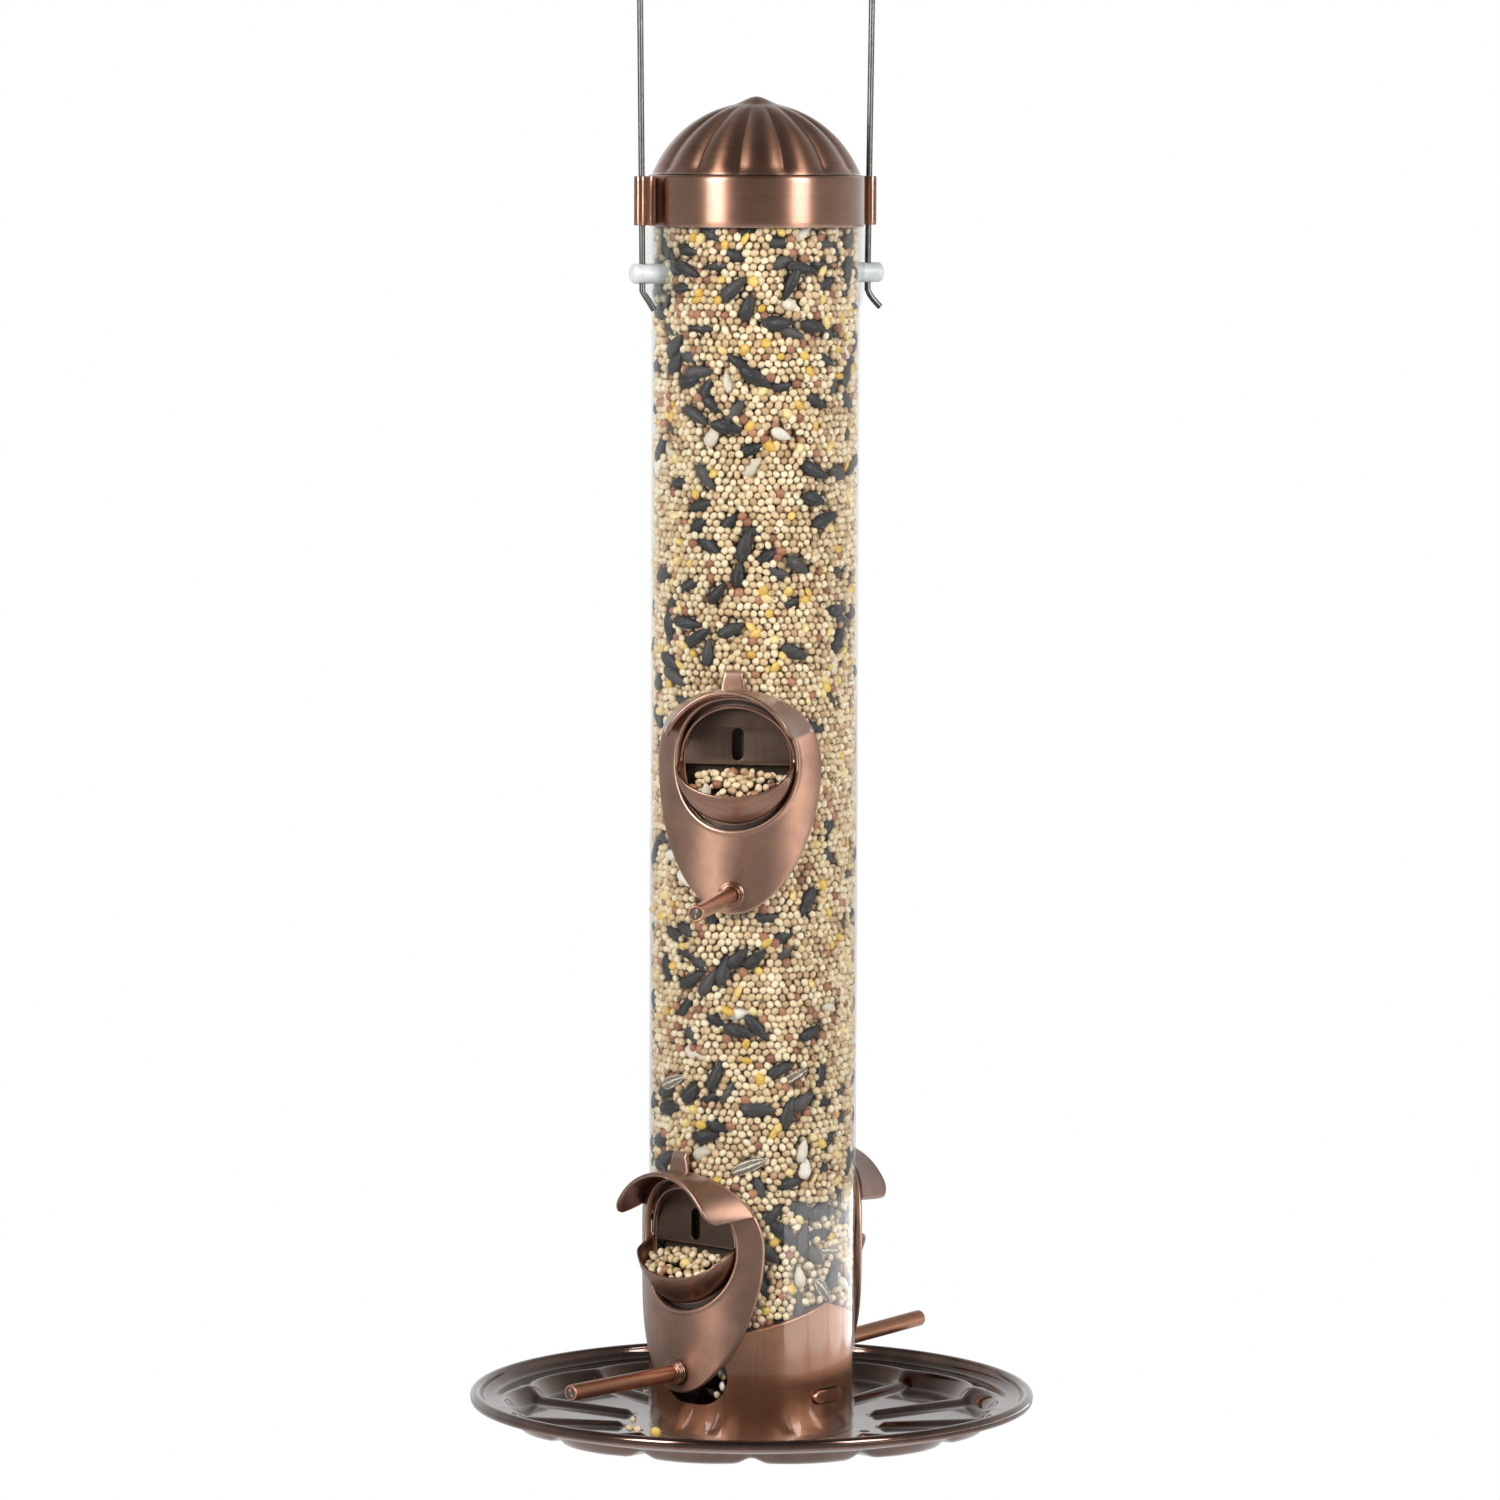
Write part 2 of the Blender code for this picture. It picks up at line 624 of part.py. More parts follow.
def make_tray():
    """Dish with pressed petals, a rolled rim, drain holes and a boss for the screw."""
    bm = bmesh.new()
    points = [bm.verts.new((r, 0, z)) for r, z in tray_profile()]
    edges = [bm.edges.new(pair) for pair in zip(points, points[1:])]
    bmesh.ops.spin(bm, geom=points + edges, axis=(0, 0, 1), cent=(0, 0, 0), angle=TURN,
                   steps=TRAY_SIDES, use_merge=True)
    bmesh.ops.remove_doubles(bm, verts=bm.verts, dist=1e-6)
    for vert in bm.verts:
        radius = vert.co.xy.length
        if PETAL_INNER_R - 1 * MM < radius < PETAL_OUTER_R + 1 * MM:
            angle = math.atan2(vert.co.x, -vert.co.y)
            vert.co.z = tray_height(radius, angle)
    bmesh.ops.recalc_face_normals(bm, faces=bm.faces)
    bm.faces.ensure_lookup_table()
    seat = min(bm.faces, key=lambda face: face.calc_center_median().xy.length)
    if seat.normal.z < 0:
        bmesh.ops.reverse_faces(bm, faces=bm.faces)
    mesh = bpy.data.meshes.new("tray")
    bm.to_mesh(mesh)
    bm.free()
    mesh.shade_smooth()
    turn = (0, 0, math.radians(TRAY_TURN))
    tray = place(bpy.data.objects.new("tray", mesh), DARK_COPPER, rotation=turn)
    solid = tray.modifiers.new("sheet", "SOLIDIFY")
    solid.thickness = TRAY_SHEET
    solid.offset = -1
    for i in range(DRAINS):
        angle = TURN * i / DRAINS + math.radians(TRAY_TURN)
        where = (DRAIN_RING_R * math.sin(angle), -DRAIN_RING_R * math.cos(angle), 0)
        drain = cylinder(f"tray_drain_{i}", DRAIN_R, -5 * MM, 5 * MM, sides=10, location=where)
        boolean(tray, drain)
    return tray


def make_tray_screw():
    """Pan-head screw and washer, sunk in the tray's underside, that hold the tray to the plug."""
    head_low = 0.6 * MM
    head_high = 2.8 * MM
    tip = 20 * MM
    profile = [(0, tip), (SCREW_R - 0.4 * MM, tip), (SCREW_R, tip - 0.6 * MM),
               (SCREW_R, head_high), (SCREW_HEAD_R, head_high),
               (SCREW_HEAD_R, head_low + 0.8 * MM),
               (SCREW_HEAD_R - 1 * MM, head_low), (0, head_low)]
    screw = turned("tray_screw", profile, ZINC, steps=20)
    slot = block("tray_screw_slot", (-6 * MM, -0.5 * MM, 0), (6 * MM, 0.5 * MM, 1.4 * MM))
    boolean(screw, slot)
    low = head_high + GAP
    high = low + 0.6 * MM
    washer = [(6.0 * MM, high), (6.0 * MM, low), (SCREW_R + GAP, low), (SCREW_R + GAP, high)]
    turned("tray_washer", washer, ZINC, ring=True, steps=24)


# ---------------------------------------------------------------- hanger

def make_patches():
    """Clear tongues on the outside of the tube, with a round end about each rod hole."""
    top = BAND_FOOT_Z - GAP - ROD_Z
    outline = [(PATCH_HALF, top), (-PATCH_HALF, top)] + arc((0, 0), PATCH_HALF, 180, 360, 14)
    for name, azimuth in (("hanger_patch_right", 90), ("hanger_patch_left", -90)):
        frame = empty(name + "_frame", FEEDER, **side_on(azimuth, ROD_Z))
        patch = prism(name, outline, 25 * MM, 38 * MM, CLEAR, parent=frame)
        boolean(patch, upright_cylinder(name + "_face", PATCH_R, frame), "INTERSECT")
        boolean(patch, upright_cylinder(name + "_back", TUBE_R + GAP, frame))
        hole = cylinder(name + "_hole", ROD_R + GAP, 20 * MM, 40 * MM, sides=20, parent=frame)
        boolean(patch, hole)


def make_rod():
    """Nylon hanger rod through the tube, drilled upright near each end for the bail."""
    nose = 1.3 * MM
    side = [(ROD_R, ROD_HALF - nose), (ROD_R, nose - ROD_HALF)]
    top = [(0, ROD_HALF), (ROD_R - nose, ROD_HALF), (ROD_R - 0.38 * nose, ROD_HALF - 0.38 * nose)]
    foot = [(r, -z) for r, z in reversed(top)]
    rod = turned("hanger_rod", top + side + foot, NYLON, steps=20, **side_on(90, ROD_Z))
    rod.location.x = ROD_SHIFT
    for side_name, x in (("right", WIRE_X), ("left", -WIRE_X)):
        hole = cylinder("rod_hole_" + side_name, WIRE_R + GAP, -6 * MM, 6 * MM, sides=16,
                        location=(x, 0, ROD_Z))
        boolean(rod, hole)


def bail_path():
    """Centre line of the wire: bent tail, left leg, round arch, right leg, bent tail."""
    left_tail = [(-35.9, -2.2, -11.4), (-37.3, -1.3, -8.6)]
    right_tail = [(40.6, -0.4, -8.4), (43.0, -0.8, -11.0)]
    left_tail = [(x * MM, y * MM, z * MM + ROD_Z) for x, y, z in left_tail]
    right_tail = [(x * MM, y * MM, z * MM + ROD_Z) for x, y, z in right_tail]
    below = ROD_Z - 5.5 * MM
    heights = [ROD_Z + (ARCH_Z - ROD_Z) * i / 3 for i in range(4)]
    spread = [WIRE_X + WIRE_SPREAD * (z - ROD_Z) for z in heights]
    left = [(-WIRE_X, 0, below)] + [(-x, 0, z) for x, z in zip(spread, heights)]
    right = [(-x, 0, z) for x, _, z in reversed(left)]
    arch = [(x, 0, z) for x, z in arc((0, ARCH_Z), ARCH_R, 180, 0, 20)[1:-1]]
    return left_tail + left + arch + right + right_tail


def make_bail():
    curve = bpy.data.curves.new("bail_wire", "CURVE")
    curve.dimensions = "3D"
    curve.bevel_depth = WIRE_R
    curve.bevel_resolution = 2
    curve.use_fill_caps = True
    path = bail_path()
    spline = curve.splines.new("POLY")
    spline.points.add(len(path) - 1)
    for point, place_at in zip(spline.points, path):
        point.co = (*place_at, 1)
    place(bpy.data.objects.new("bail_wire", curve), STEEL)


# ---------------------------------------------------------------- cap

def make_dome(cap):
    """Fluted dome: part of a sphere with fourteen rounded lobes that run out below the nub."""
    drop = math.sqrt(DOME_SPHERE_R ** 2 - DOME_FOOT_R ** 2)
    trim = 1 * MM
    lowest = math.asin((drop - trim) / DOME_SPHERE_R)
    rings = 7
    profile = []
    for i in range(rings + 1):
        a = lowest + (math.pi / 2 - lowest) * i / rings
        profile.append((DOME_SPHERE_R * math.cos(a), DOME_SPHERE_R * math.sin(a) - drop))
    bm = bmesh.new()
    points = [bm.verts.new((r, 0, z)) for r, z in reversed(profile)]
    edges = [bm.edges.new(pair) for pair in zip(points, points[1:])]
    bmesh.ops.spin(bm, geom=points + edges, axis=(0, 0, 1), cent=(0, 0, 0), angle=TURN,
                   steps=FLUTES * 4, use_merge=True)
    bmesh.ops.remove_doubles(bm, verts=bm.verts, dist=1e-6)
    for vert in bm.verts:
        radius = vert.co.xy.length
        angle = math.atan2(vert.co.x, -vert.co.y)
        turn = FLUTES * (angle - math.radians(FLUTE_PHASE)) / TURN
        lobe = 1 - (2 * (turn % 1) - 1) ** 2
        fade = smooth_step((radius - NUB_R) / (16 * MM))
        centre = Vector((0, 0, -drop))
        vert.co -= (vert.co - centre).normalized() * FLUTE_DEPTH * fade * (1 - lobe)
        vert.co.z += NUB_HEIGHT * (1 - smooth_step(radius / NUB_R))
    bmesh.ops.recalc_face_normals(bm, faces=bm.faces)
    mesh = bpy.data.meshes.new("cap_dome")
    bm.to_mesh(mesh)
    bm.free()
    mesh.shade_smooth()
    dome = place(bpy.data.objects.new("cap_dome", mesh), COPPER, parent=cap,
                 location=(0, 0, BAND_TOP_Z + GAP))
    solid = dome.modifiers.new("sheet", "SOLIDIFY")
    solid.thickness = DOME_WALL
    solid.offset = -1
    below = block("dome_trim", (-40 * MM, -40 * MM, -5 * MM), (40 * MM, 40 * MM, 0), parent=cap,
                  location=(0, 0, BAND_TOP_Z + GAP))
    boolean(dome, below)


def make_band(cap):
    """Brushed band below the dome, with a small round at its top and a lip turned inward."""
    inner = BAND_R - BAND_WALL
    fillet = 1.0 * MM
    corner = arc((BAND_R - fillet, BAND_TOP_Z - fillet), fillet, 90, 0, 3)
    lip_r = 30.8 * MM
    profile = [(lip_r, BAND_TOP_Z)] + corner
    profile += [(BAND_R, BAND_FOOT_Z), (inner, BAND_FOOT_Z), (inner, BAND_TOP_Z - 0.8 * MM),
                (lip_r, BAND_TOP_Z - 0.8 * MM)]
    turned("cap_band", profile, COPPER, ring=True, steps=TUBE_SIDES, parent=cap)


def make_guides(cap):
    """Rolled sleeves that run on the bail's legs, each on a thin web beside the band."""
    low = BAND_FOOT_Z + 0.2 * MM
    high = BAND_TOP_Z - 0.4 * MM
    profile = [(GUIDE_R, high), (GUIDE_R, low), (GUIDE_BORE_R, low), (GUIDE_BORE_R, high)]
    for name, azimuth in (("cap_guide_right", 0), ("cap_guide_left", 180)):
        turn = math.radians(azimuth)
        at = {"parent": cap, "rotation": (0, 0, turn)}
        where = (GUIDE_X * math.cos(turn), GUIDE_X * math.sin(turn), 0)
        guide = turned(name, profile, COPPER, ring=True, steps=20, location=where, **at)
        root = BAND_R + GAP - GUIDE_X
        web = block(name + "_web", (root, -WEB_THICKNESS / 2, low),
                    (-GUIDE_BORE_R - 0.15 * MM, WEB_THICKNESS / 2, high), location=where, **at)
        foot = block(name + "_foot", (root, -3 * MM, low + 1 * MM),
                     (root + 0.6 * MM, 3 * MM, high - 1 * MM), location=where, **at)
        boolean(guide, web, "UNION")
        boolean(guide, foot, "UNION")


def make_cap():
    cap = empty("cap_slide", FEEDER)
    make_dome(cap)
    make_band(cap)
    make_guides(cap)


make_tube()
make_ports()
make_seed()
make_plug()
make_catches()
make_tray()
make_tray_screw()
make_patches()
make_rod()
make_bail()
make_cap()
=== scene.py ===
"""Looks for the hanging tube bird feeder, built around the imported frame.

Each piece is modelled in millimetres in a frame of its own and then put in place in metres:
the feeder's frame stands on the underside of the tray's petals, and a port's frame has x to the right,
y up and z out of the tube. An azimuth of 0 looks towards -Y, and azimuths grow towards +X.
"""

import math
import random

import bmesh
import bpy
import numpy as np
from mathutils import Matrix, Vector
from mathutils.kdtree import KDTree


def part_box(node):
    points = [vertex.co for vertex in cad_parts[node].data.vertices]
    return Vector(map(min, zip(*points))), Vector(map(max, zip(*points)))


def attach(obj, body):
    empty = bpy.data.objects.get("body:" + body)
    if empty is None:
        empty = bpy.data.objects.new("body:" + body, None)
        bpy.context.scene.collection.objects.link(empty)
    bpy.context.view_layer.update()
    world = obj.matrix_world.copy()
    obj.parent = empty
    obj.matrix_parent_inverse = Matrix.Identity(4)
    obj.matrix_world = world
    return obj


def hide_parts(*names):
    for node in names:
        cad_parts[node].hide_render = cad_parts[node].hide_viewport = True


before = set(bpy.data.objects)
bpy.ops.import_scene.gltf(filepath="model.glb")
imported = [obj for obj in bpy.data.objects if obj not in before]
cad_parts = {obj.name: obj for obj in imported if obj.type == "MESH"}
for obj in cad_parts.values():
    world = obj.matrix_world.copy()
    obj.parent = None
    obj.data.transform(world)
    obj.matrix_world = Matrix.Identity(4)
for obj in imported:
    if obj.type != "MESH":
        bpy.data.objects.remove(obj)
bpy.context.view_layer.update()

MM = 0.001
DISH_DROP = 2.2
DISH_FROM = 40.0
DISH_TO = 74.0
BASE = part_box("tray")[0].z + DISH_DROP * MM
PORTS = {"mid": (214.1, -35.0), "lower": (60.7, -66.0)}
CATCHES = {"catch_right": 24.0, "catch_left": -156.0}

TUBE_R = 33.0
TUBE_WALL = 0.5
TUBE_FOOT = -1.25
PLUG_FOOT = -1.2
TUBE_TOP = 397.1
SHIELD_R = 35.2
OPENING_R = 20.5
PORT_HOLE_R = 19.4
CUP_R = 18.6
CUP_MID_R = CUP_R - 0.5
CUP_SHOULDER = 33.0
CUP_BULGE = 7.9
PERCH_DROP = 40.6
PERCH_R = 2.6
NUT_R = 4.9
PERCH_LEAN = {"mid_front": (-1.8, -0.7), "lower_rear": (1.8, 2.4)}
PLUG_R = 32.2
RIDGE_Z = 42.1
ROOF_SLOPE = 0.3126
NUT_WINDOW = (12.25, 9.0)
NUT_WINDOW_Z = 19.0
NUT_WINDOW_TURN = 6
CATCH_Z = 12.05
CATCH_SLOT = (6.75, 2.5)
ROD_R = 3.175
ROD_Z = 367.2
WIRE_X = 38.95
WIRE_HOLE_R = 1.3
SEED_TOP = 386.0
TRAY_TURN = -24.0
PETALS = 13
SHEET = 0.9
LEDGE = 5.9
DRAIN_R = 1.7
DRAIN_RING_R = 37.9
DRAINS = 5
HOLE_GAP = 0.3


# ---------------------------------------------------------------- frames and placing

def feeder_frame(azimuth=0.0, height=0.0):
    turn = Matrix.Rotation(math.radians(azimuth), 4, "Z")
    return Matrix.Translation((0, 0, BASE + height * MM)) @ turn @ Matrix.Scale(MM, 4)


def port_frame(azimuth, height):
    turn = Matrix.Rotation(math.radians(azimuth), 4, "Z")
    stand = Matrix.Rotation(math.radians(90), 4, "X")
    return Matrix.Translation((0, 0, BASE + height * MM)) @ turn @ stand @ Matrix.Scale(MM, 4)


def port_places():
    """(name, frame) of each port: two levels, each with a pair back to back."""
    for level, (height, azimuth) in PORTS.items():
        yield level + "_front", port_frame(azimuth, height)
        yield level + "_rear", port_frame(azimuth + 180, height)


def port_turns():
    """(height, azimuth) of all four ports."""
    return [(height, azimuth + turn) for height, azimuth in PORTS.values() for turn in (0, 180)]


def put(obj, body, slot, *nodes):
    """Hands a finished piece to its body and hides the CAD parts that it stands for. Its slot is not used.
    """
    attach(obj, body)
    if nodes:
        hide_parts(*nodes)
    return obj


# ---------------------------------------------------------------- mesh helpers

def new_object(name, mesh, finish=None):
    obj = bpy.data.objects.new(name, mesh)
    bpy.context.scene.collection.objects.link(obj)
    if finish is not None:
        mesh.materials.append(finish)
    return obj


def grid(name, points, finish=None, close_u=True, close_v=False):
    """A surface through rows of points, with a UV map 'grain' in millimetres along both ways."""
    points = np.asarray(points, float)
    rows, cols, _ = points.shape
    col_step = np.linalg.norm(np.roll(points, -1, axis=1) - points, axis=2)[:, :-1].mean()
    row_step = np.linalg.norm(np.roll(points, -1, axis=0) - points, axis=2).mean(axis=1)
    along = np.concatenate([[0.0], np.cumsum(row_step)])
    row_list = range(rows if close_v else rows - 1)
    col_list = range(cols if close_u else cols - 1)
    faces = []
    uvs = []
    for i in row_list:
        a, b = i * cols, ((i + 1) % rows) * cols
        for j in col_list:
            k = (j + 1) % cols
            faces.append((a + j, a + k, b + k, b + j))
            left, right = j * col_step, (j + 1) * col_step
            uvs += [left, along[i], right, along[i], right, along[i + 1], left, along[i + 1]]
    mesh = bpy.data.meshes.new(name)
    mesh.from_pydata([tuple(p) for p in points.reshape(-1, 3)], [], faces)
    layer = mesh.uv_layers.new(name="grain")
    layer.data.foreach_set("uv", np.array(uvs, np.float32))
    return new_object(name, mesh, finish)


def azimuths(count):
    return np.array([2 * math.pi * j / count for j in range(count)])


def round_row(radius, height, angles):
    """Points about the feeder's axis, whose radius and height may vary with the azimuth."""
    height = np.broadcast_to(height, angles.shape)
    return np.stack([radius * np.sin(angles), -radius * np.cos(angles), height], axis=1)


def face_out(obj):
    """Turns a closed or nearly closed surface so that its normals point outwards."""
    bm = bmesh.new()
    bm.from_mesh(obj.data)
    bmesh.ops.recalc_face_normals(bm, faces=bm.faces)
    bm.to_mesh(obj.data)
    bm.free()


def face_up(obj, sample=0):
    """Turns an open surface over if the face with the sample's number looks down."""
    if obj.data.polygons[sample].normal.z < 0:
        obj.data.flip_normals()


def lathe(name, profile, finish=None, steps=96, closed=False):
    """A profile of (radius, height) points turned about Z. Up the outside keeps normals out."""
    angles = [2 * math.pi * j / steps for j in range(steps)]
    rows = [[(r * math.cos(a), r * math.sin(a), z) for a in angles] for r, z in profile]
    return grid(name, rows, finish, close_v=closed)


def turned(name, profile, finish, steps=96, place=None, sharp=40.0, closed=True):
    """A lathed piece with its normals outwards, settled in its place."""
    made = lathe(name, profile, finish, steps, closed)
    face_out(made)
    return settle(made, place, sharp)


def arc(centre, radius, start, end, count):
    angles = [math.radians(start + (end - start) * i / count) for i in range(count + 1)]
    return [(centre[0] + radius * math.cos(a), centre[1] + radius * math.sin(a)) for a in angles]


def ring(radius, spot=(0, 0), count=24):
    """A full circle as an outline, without its last point."""
    return arc(spot, radius, 0, 360 - 360 / count, count - 1)


def obround(half_length, half_width, count=12):
    reach = half_length - half_width
    return (arc((reach, 0), half_width, -90, 90, count)
            + arc((-reach, 0), half_width, 90, 270, count))


def plate(name, outlines, low, high, finish=None, edge=0.0, segments=3):
    """A flat plate in x and y between two heights, with rounded edges. The first outline is
    its outside and the rest are holes."""
    curve = bpy.data.curves.new(name, "CURVE")
    curve.dimensions = "2D"
    curve.fill_mode = "BOTH"
    curve.extrude = (high - low) / 2 - edge
    curve.bevel_depth = edge
    curve.bevel_resolution = segments
    curve.offset = -edge
    for outline in outlines:
        spline = curve.splines.new("POLY")
        spline.points.add(len(outline) - 1)
        for point, (x, y) in zip(spline.points, outline):
            point.co = (x, y, 0, 1)
        spline.use_cyclic_u = True
    source = bpy.data.objects.new(name + "_curve", curve)
    bpy.context.scene.collection.objects.link(source)
    graph = bpy.context.evaluated_depsgraph_get()
    mesh = bpy.data.meshes.new_from_object(source.evaluated_get(graph))
    bpy.data.objects.remove(source, do_unlink=True)
    bm = bmesh.new()
    bm.from_mesh(mesh)
    bmesh.ops.remove_doubles(bm, verts=bm.verts, dist=1e-4)
    bmesh.ops.recalc_face_normals(bm, faces=bm.faces)
    bm.to_mesh(mesh)
    bm.free()
    mesh.transform(Matrix.Translation((0, 0, (low + high) / 2)))
    layer = mesh.uv_layers.get("grain") or mesh.uv_layers.new(name="grain")
    for loop in mesh.loops:
        spot = mesh.vertices[loop.vertex_index].co
        layer.data[loop.index].uv = (spot.x, spot.y)
    return new_object(name, mesh, finish)


def solidify(obj, thickness, offset=-1.0):
    made = obj.modifiers.new("sheet", "SOLIDIFY")
    made.thickness = thickness
    made.offset = offset
    made.use_even_offset = True


def bevel(obj, width, segments=3, angle=40.0):
    made = obj.modifiers.new("edges", "BEVEL")
    made.width = width
    made.segments = segments
    made.limit_method = "ANGLE"
    made.angle_limit = math.radians(angle)
    made.use_clamp_overlap = False


def cut(obj, tool):
    made = obj.modifiers.new("cut", "BOOLEAN")
    made.operation = "DIFFERENCE"
    made.solver = "EXACT"
    made.object = tool


def settle(obj, place=None, sharp=35.0, tools=()):
    """Applies the modifiers, puts the mesh in place and shades it smooth up to an angle."""
    graph = bpy.context.evaluated_depsgraph_get()
    done = obj.evaluated_get(graph)
    mesh = bpy.data.meshes.new_from_object(done, preserve_all_data_layers=True, depsgraph=graph)
    obj.modifiers.clear()
    obj.data = mesh
    if place is not None:
        mesh.transform(place)
    mesh.shade_smooth()
    mesh.set_sharp_from_angle(angle=math.radians(sharp))
    for tool in tools:
        bpy.data.objects.remove(tool, do_unlink=True)
    return obj


def sheet(obj, thickness, edge=0.0, segments=3, angle=50.0):
    """Thickens an open surface to both sides, rounds its edges and settles it."""
    solidify(obj, thickness, 0.0)
    if edge:
        bevel(obj, edge, segments, angle)
    settle(obj, sharp=50)
    face_out(obj)
    return obj


def join(main, *others):
    """Joins settled pieces into one object. Their material slots are kept apart."""
    bm = bmesh.new()
    bm.from_mesh(main.data)
    for other in others:
        first = len(main.data.materials)
        for finish in other.data.materials:
            main.data.materials.append(finish)
        shift = [main.data.materials[first + i] for i in range(len(other.data.materials))]
        slots = {i: first + i for i in range(len(shift))}
        mesh = other.data.copy()
        for polygon in mesh.polygons:
            polygon.material_index = slots.get(polygon.material_index, 0)
        bm.from_mesh(mesh)
        bpy.data.objects.remove(other, do_unlink=True)
    bm.to_mesh(main.data)
    bm.free()
    return main


def cutter(outline, place=None, low=20, high=45):
    """A settled solid in the shape of an outline, to cut with."""
    return settle(plate("cutter", [outline], low, high), place)


def punch(obj, cutters, place=None, sharp=40.0):
    """Cuts settled solids out of a piece in one go, and settles it in its place."""
    tool = join(*cutters)
    cut(obj, tool)
    return settle(obj, place, sharp, tools=[tool])


# ---------------------------------------------------------------- materials

class Nodes:
    """The node tree of a material or world, with short calls for the few nodes used here."""

    def __init__(self, owner, shader):
        owner.use_nodes = True
        self.owner = owner
        self.tree = owner.node_tree
        self.shader = self.tree.nodes[shader]

    def add(self, kind, **settings):
        node = self.tree.nodes.new(kind)
        for key, value in settings.items():
            setattr(node, key, value)
        return node

    def link(self, source, target):
        self.tree.links.new(source, target)

    def base(self, **values):
        for key, value in values.items():
            self.shader.inputs[key.replace("_", " ")].default_value = value

    def grain(self, along, across):
        """Coordinates from the 'grain' map, drawn out along one of its two ways."""
        source = self.add("ShaderNodeUVMap", uv_map="grain")
        scale = self.add("ShaderNodeMapping")
        scale.inputs["Scale"].default_value = (1 / along, 1 / across, 1)
        self.link(source.outputs["UV"], scale.inputs["Vector"])
        return scale.outputs["Vector"]

    def solid(self, size):
        """Coordinates in the piece's own space, in units of a size in millimetres."""
        source = self.add("ShaderNodeTexCoord")
        scale = self.add("ShaderNodeMapping")
        scale.inputs["Scale"].default_value = (1000 / size,) * 3
        self.link(source.outputs["Object"], scale.inputs["Vector"])
        return scale.outputs["Vector"]

    def noise(self, vector, detail=3.0, roughness=0.55):
        node = self.add("ShaderNodeTexNoise")
        node.inputs["Scale"].default_value = 1.0
        node.inputs["Detail"].default_value = detail
        node.inputs["Roughness"].default_value = roughness
        self.link(vector, node.inputs["Vector"])
        return node.outputs["Fac"]

    def ramp(self, value, *stops):
        node = self.add("ShaderNodeValToRGB")
        elements = node.color_ramp.elements
        while len(elements) < len(stops):
            elements.new(0.5)
        for element, (position, colour) in zip(elements, stops):
            element.position = position
            shade = (colour,) * 3 if isinstance(colour, (int, float)) else colour
            element.color = (*shade, 1.0)
        self.link(value, node.inputs["Fac"])
        return node.outputs["Color"]

    def mix(self, factor, first, second, blend="MIX"):
        node = self.add("ShaderNodeMix", data_type="RGBA", blend_type=blend)
        for value, socket in ((factor, node.inputs["Factor"]), (first, node.inputs["A"]),
                              (second, node.inputs["B"])):
            if isinstance(value, bpy.types.NodeSocket):
                self.link(value, socket)
            elif isinstance(value, tuple):
                socket.default_value = (*value, 1.0)
            else:
                socket.default_value = value
        return node.outputs["Result"]

    def math(self, operation, first, second=0.0):
        node = self.add("ShaderNodeMath", operation=operation)
        for value, socket in ((first, node.inputs[0]), (second, node.inputs[1])):
            if isinstance(value, bpy.types.NodeSocket):
                self.link(value, socket)
            else:
                socket.default_value = value
        return node.outputs["Value"]

    def blend(self, first, second, share):
        """A weighted sum, with the first value's share of it."""
        return self.math("ADD", self.math("MULTIPLY", first, share),
                         self.math("MULTIPLY", second, 1 - share))

    def spread(self, value, low, high):
        node = self.add("ShaderNodeMapRange")
        node.inputs["To Min"].default_value = low
        node.inputs["To Max"].default_value = high
        self.link(value, node.inputs["Value"])
        return node.outputs["Result"]

    def bump(self, height, distance, strength=1.0):
        node = self.add("ShaderNodeBump")
        node.inputs["Distance"].default_value = distance * MM
        node.inputs["Strength"].default_value = strength
        self.link(height, node.inputs["Height"])
        self.link(node.outputs["Normal"], self.shader.inputs["Normal"])


def surface(name):
    return Nodes(bpy.data.materials.new(name), "Principled BSDF")


def copper(name, bright, dark, roughness, along, across, patina=0.5, depth=0.02, wear=0.6,
           brushed=0.0, turn=0.0, coat=0.6, coat_roughness=0.2):
    """Antique copper plate under lacquer: brushed grain, dark patches, bright worn edges.

    A brushed finish spreads highlights across its lines. A turn of 0.25 sets the lines along
    the grain map's first way, and 0 along its second."""
    made = surface(name)
    made.base(Metallic=1.0, Coat_Weight=coat, Coat_Roughness=coat_roughness,
              Anisotropic=brushed, Anisotropic_Rotation=turn)
    if brushed:
        tangent = made.add("ShaderNodeTangent", direction_type="UV_MAP", uv_map="grain")
        made.link(tangent.outputs["Tangent"], made.shader.inputs["Tangent"])
    brushing = made.noise(made.grain(along, across), detail=4.0, roughness=0.65)
    patches = made.noise(made.solid(9.0), detail=5.0)
    speckle = made.noise(made.solid(0.45), detail=2.0)
    tone = made.ramp(made.blend(patches, brushing, patina), (0.34, dark), (0.64, bright))
    geometry = made.add("ShaderNodeNewGeometry")
    edges = made.ramp(geometry.outputs["Pointiness"], (0.52, 0.0), (0.58, 1.0))
    hollows = made.ramp(geometry.outputs["Pointiness"], (0.43, 1.0), (0.485, 0.0))
    worn = (0.86, 0.60, 0.46)
    tone = made.mix(made.math("MULTIPLY", edges, wear), tone, worn)
    tone = made.mix(made.math("MULTIPLY", hollows, 0.7), tone, tuple(0.3 * c for c in dark))
    made.link(tone, made.shader.inputs["Base Color"])
    uneven = made.blend(brushing, speckle, 0.6)
    made.link(made.spread(uneven, roughness - 0.09, roughness + 0.11),
              made.shader.inputs["Roughness"])
    made.bump(uneven, depth)
    return made.owner


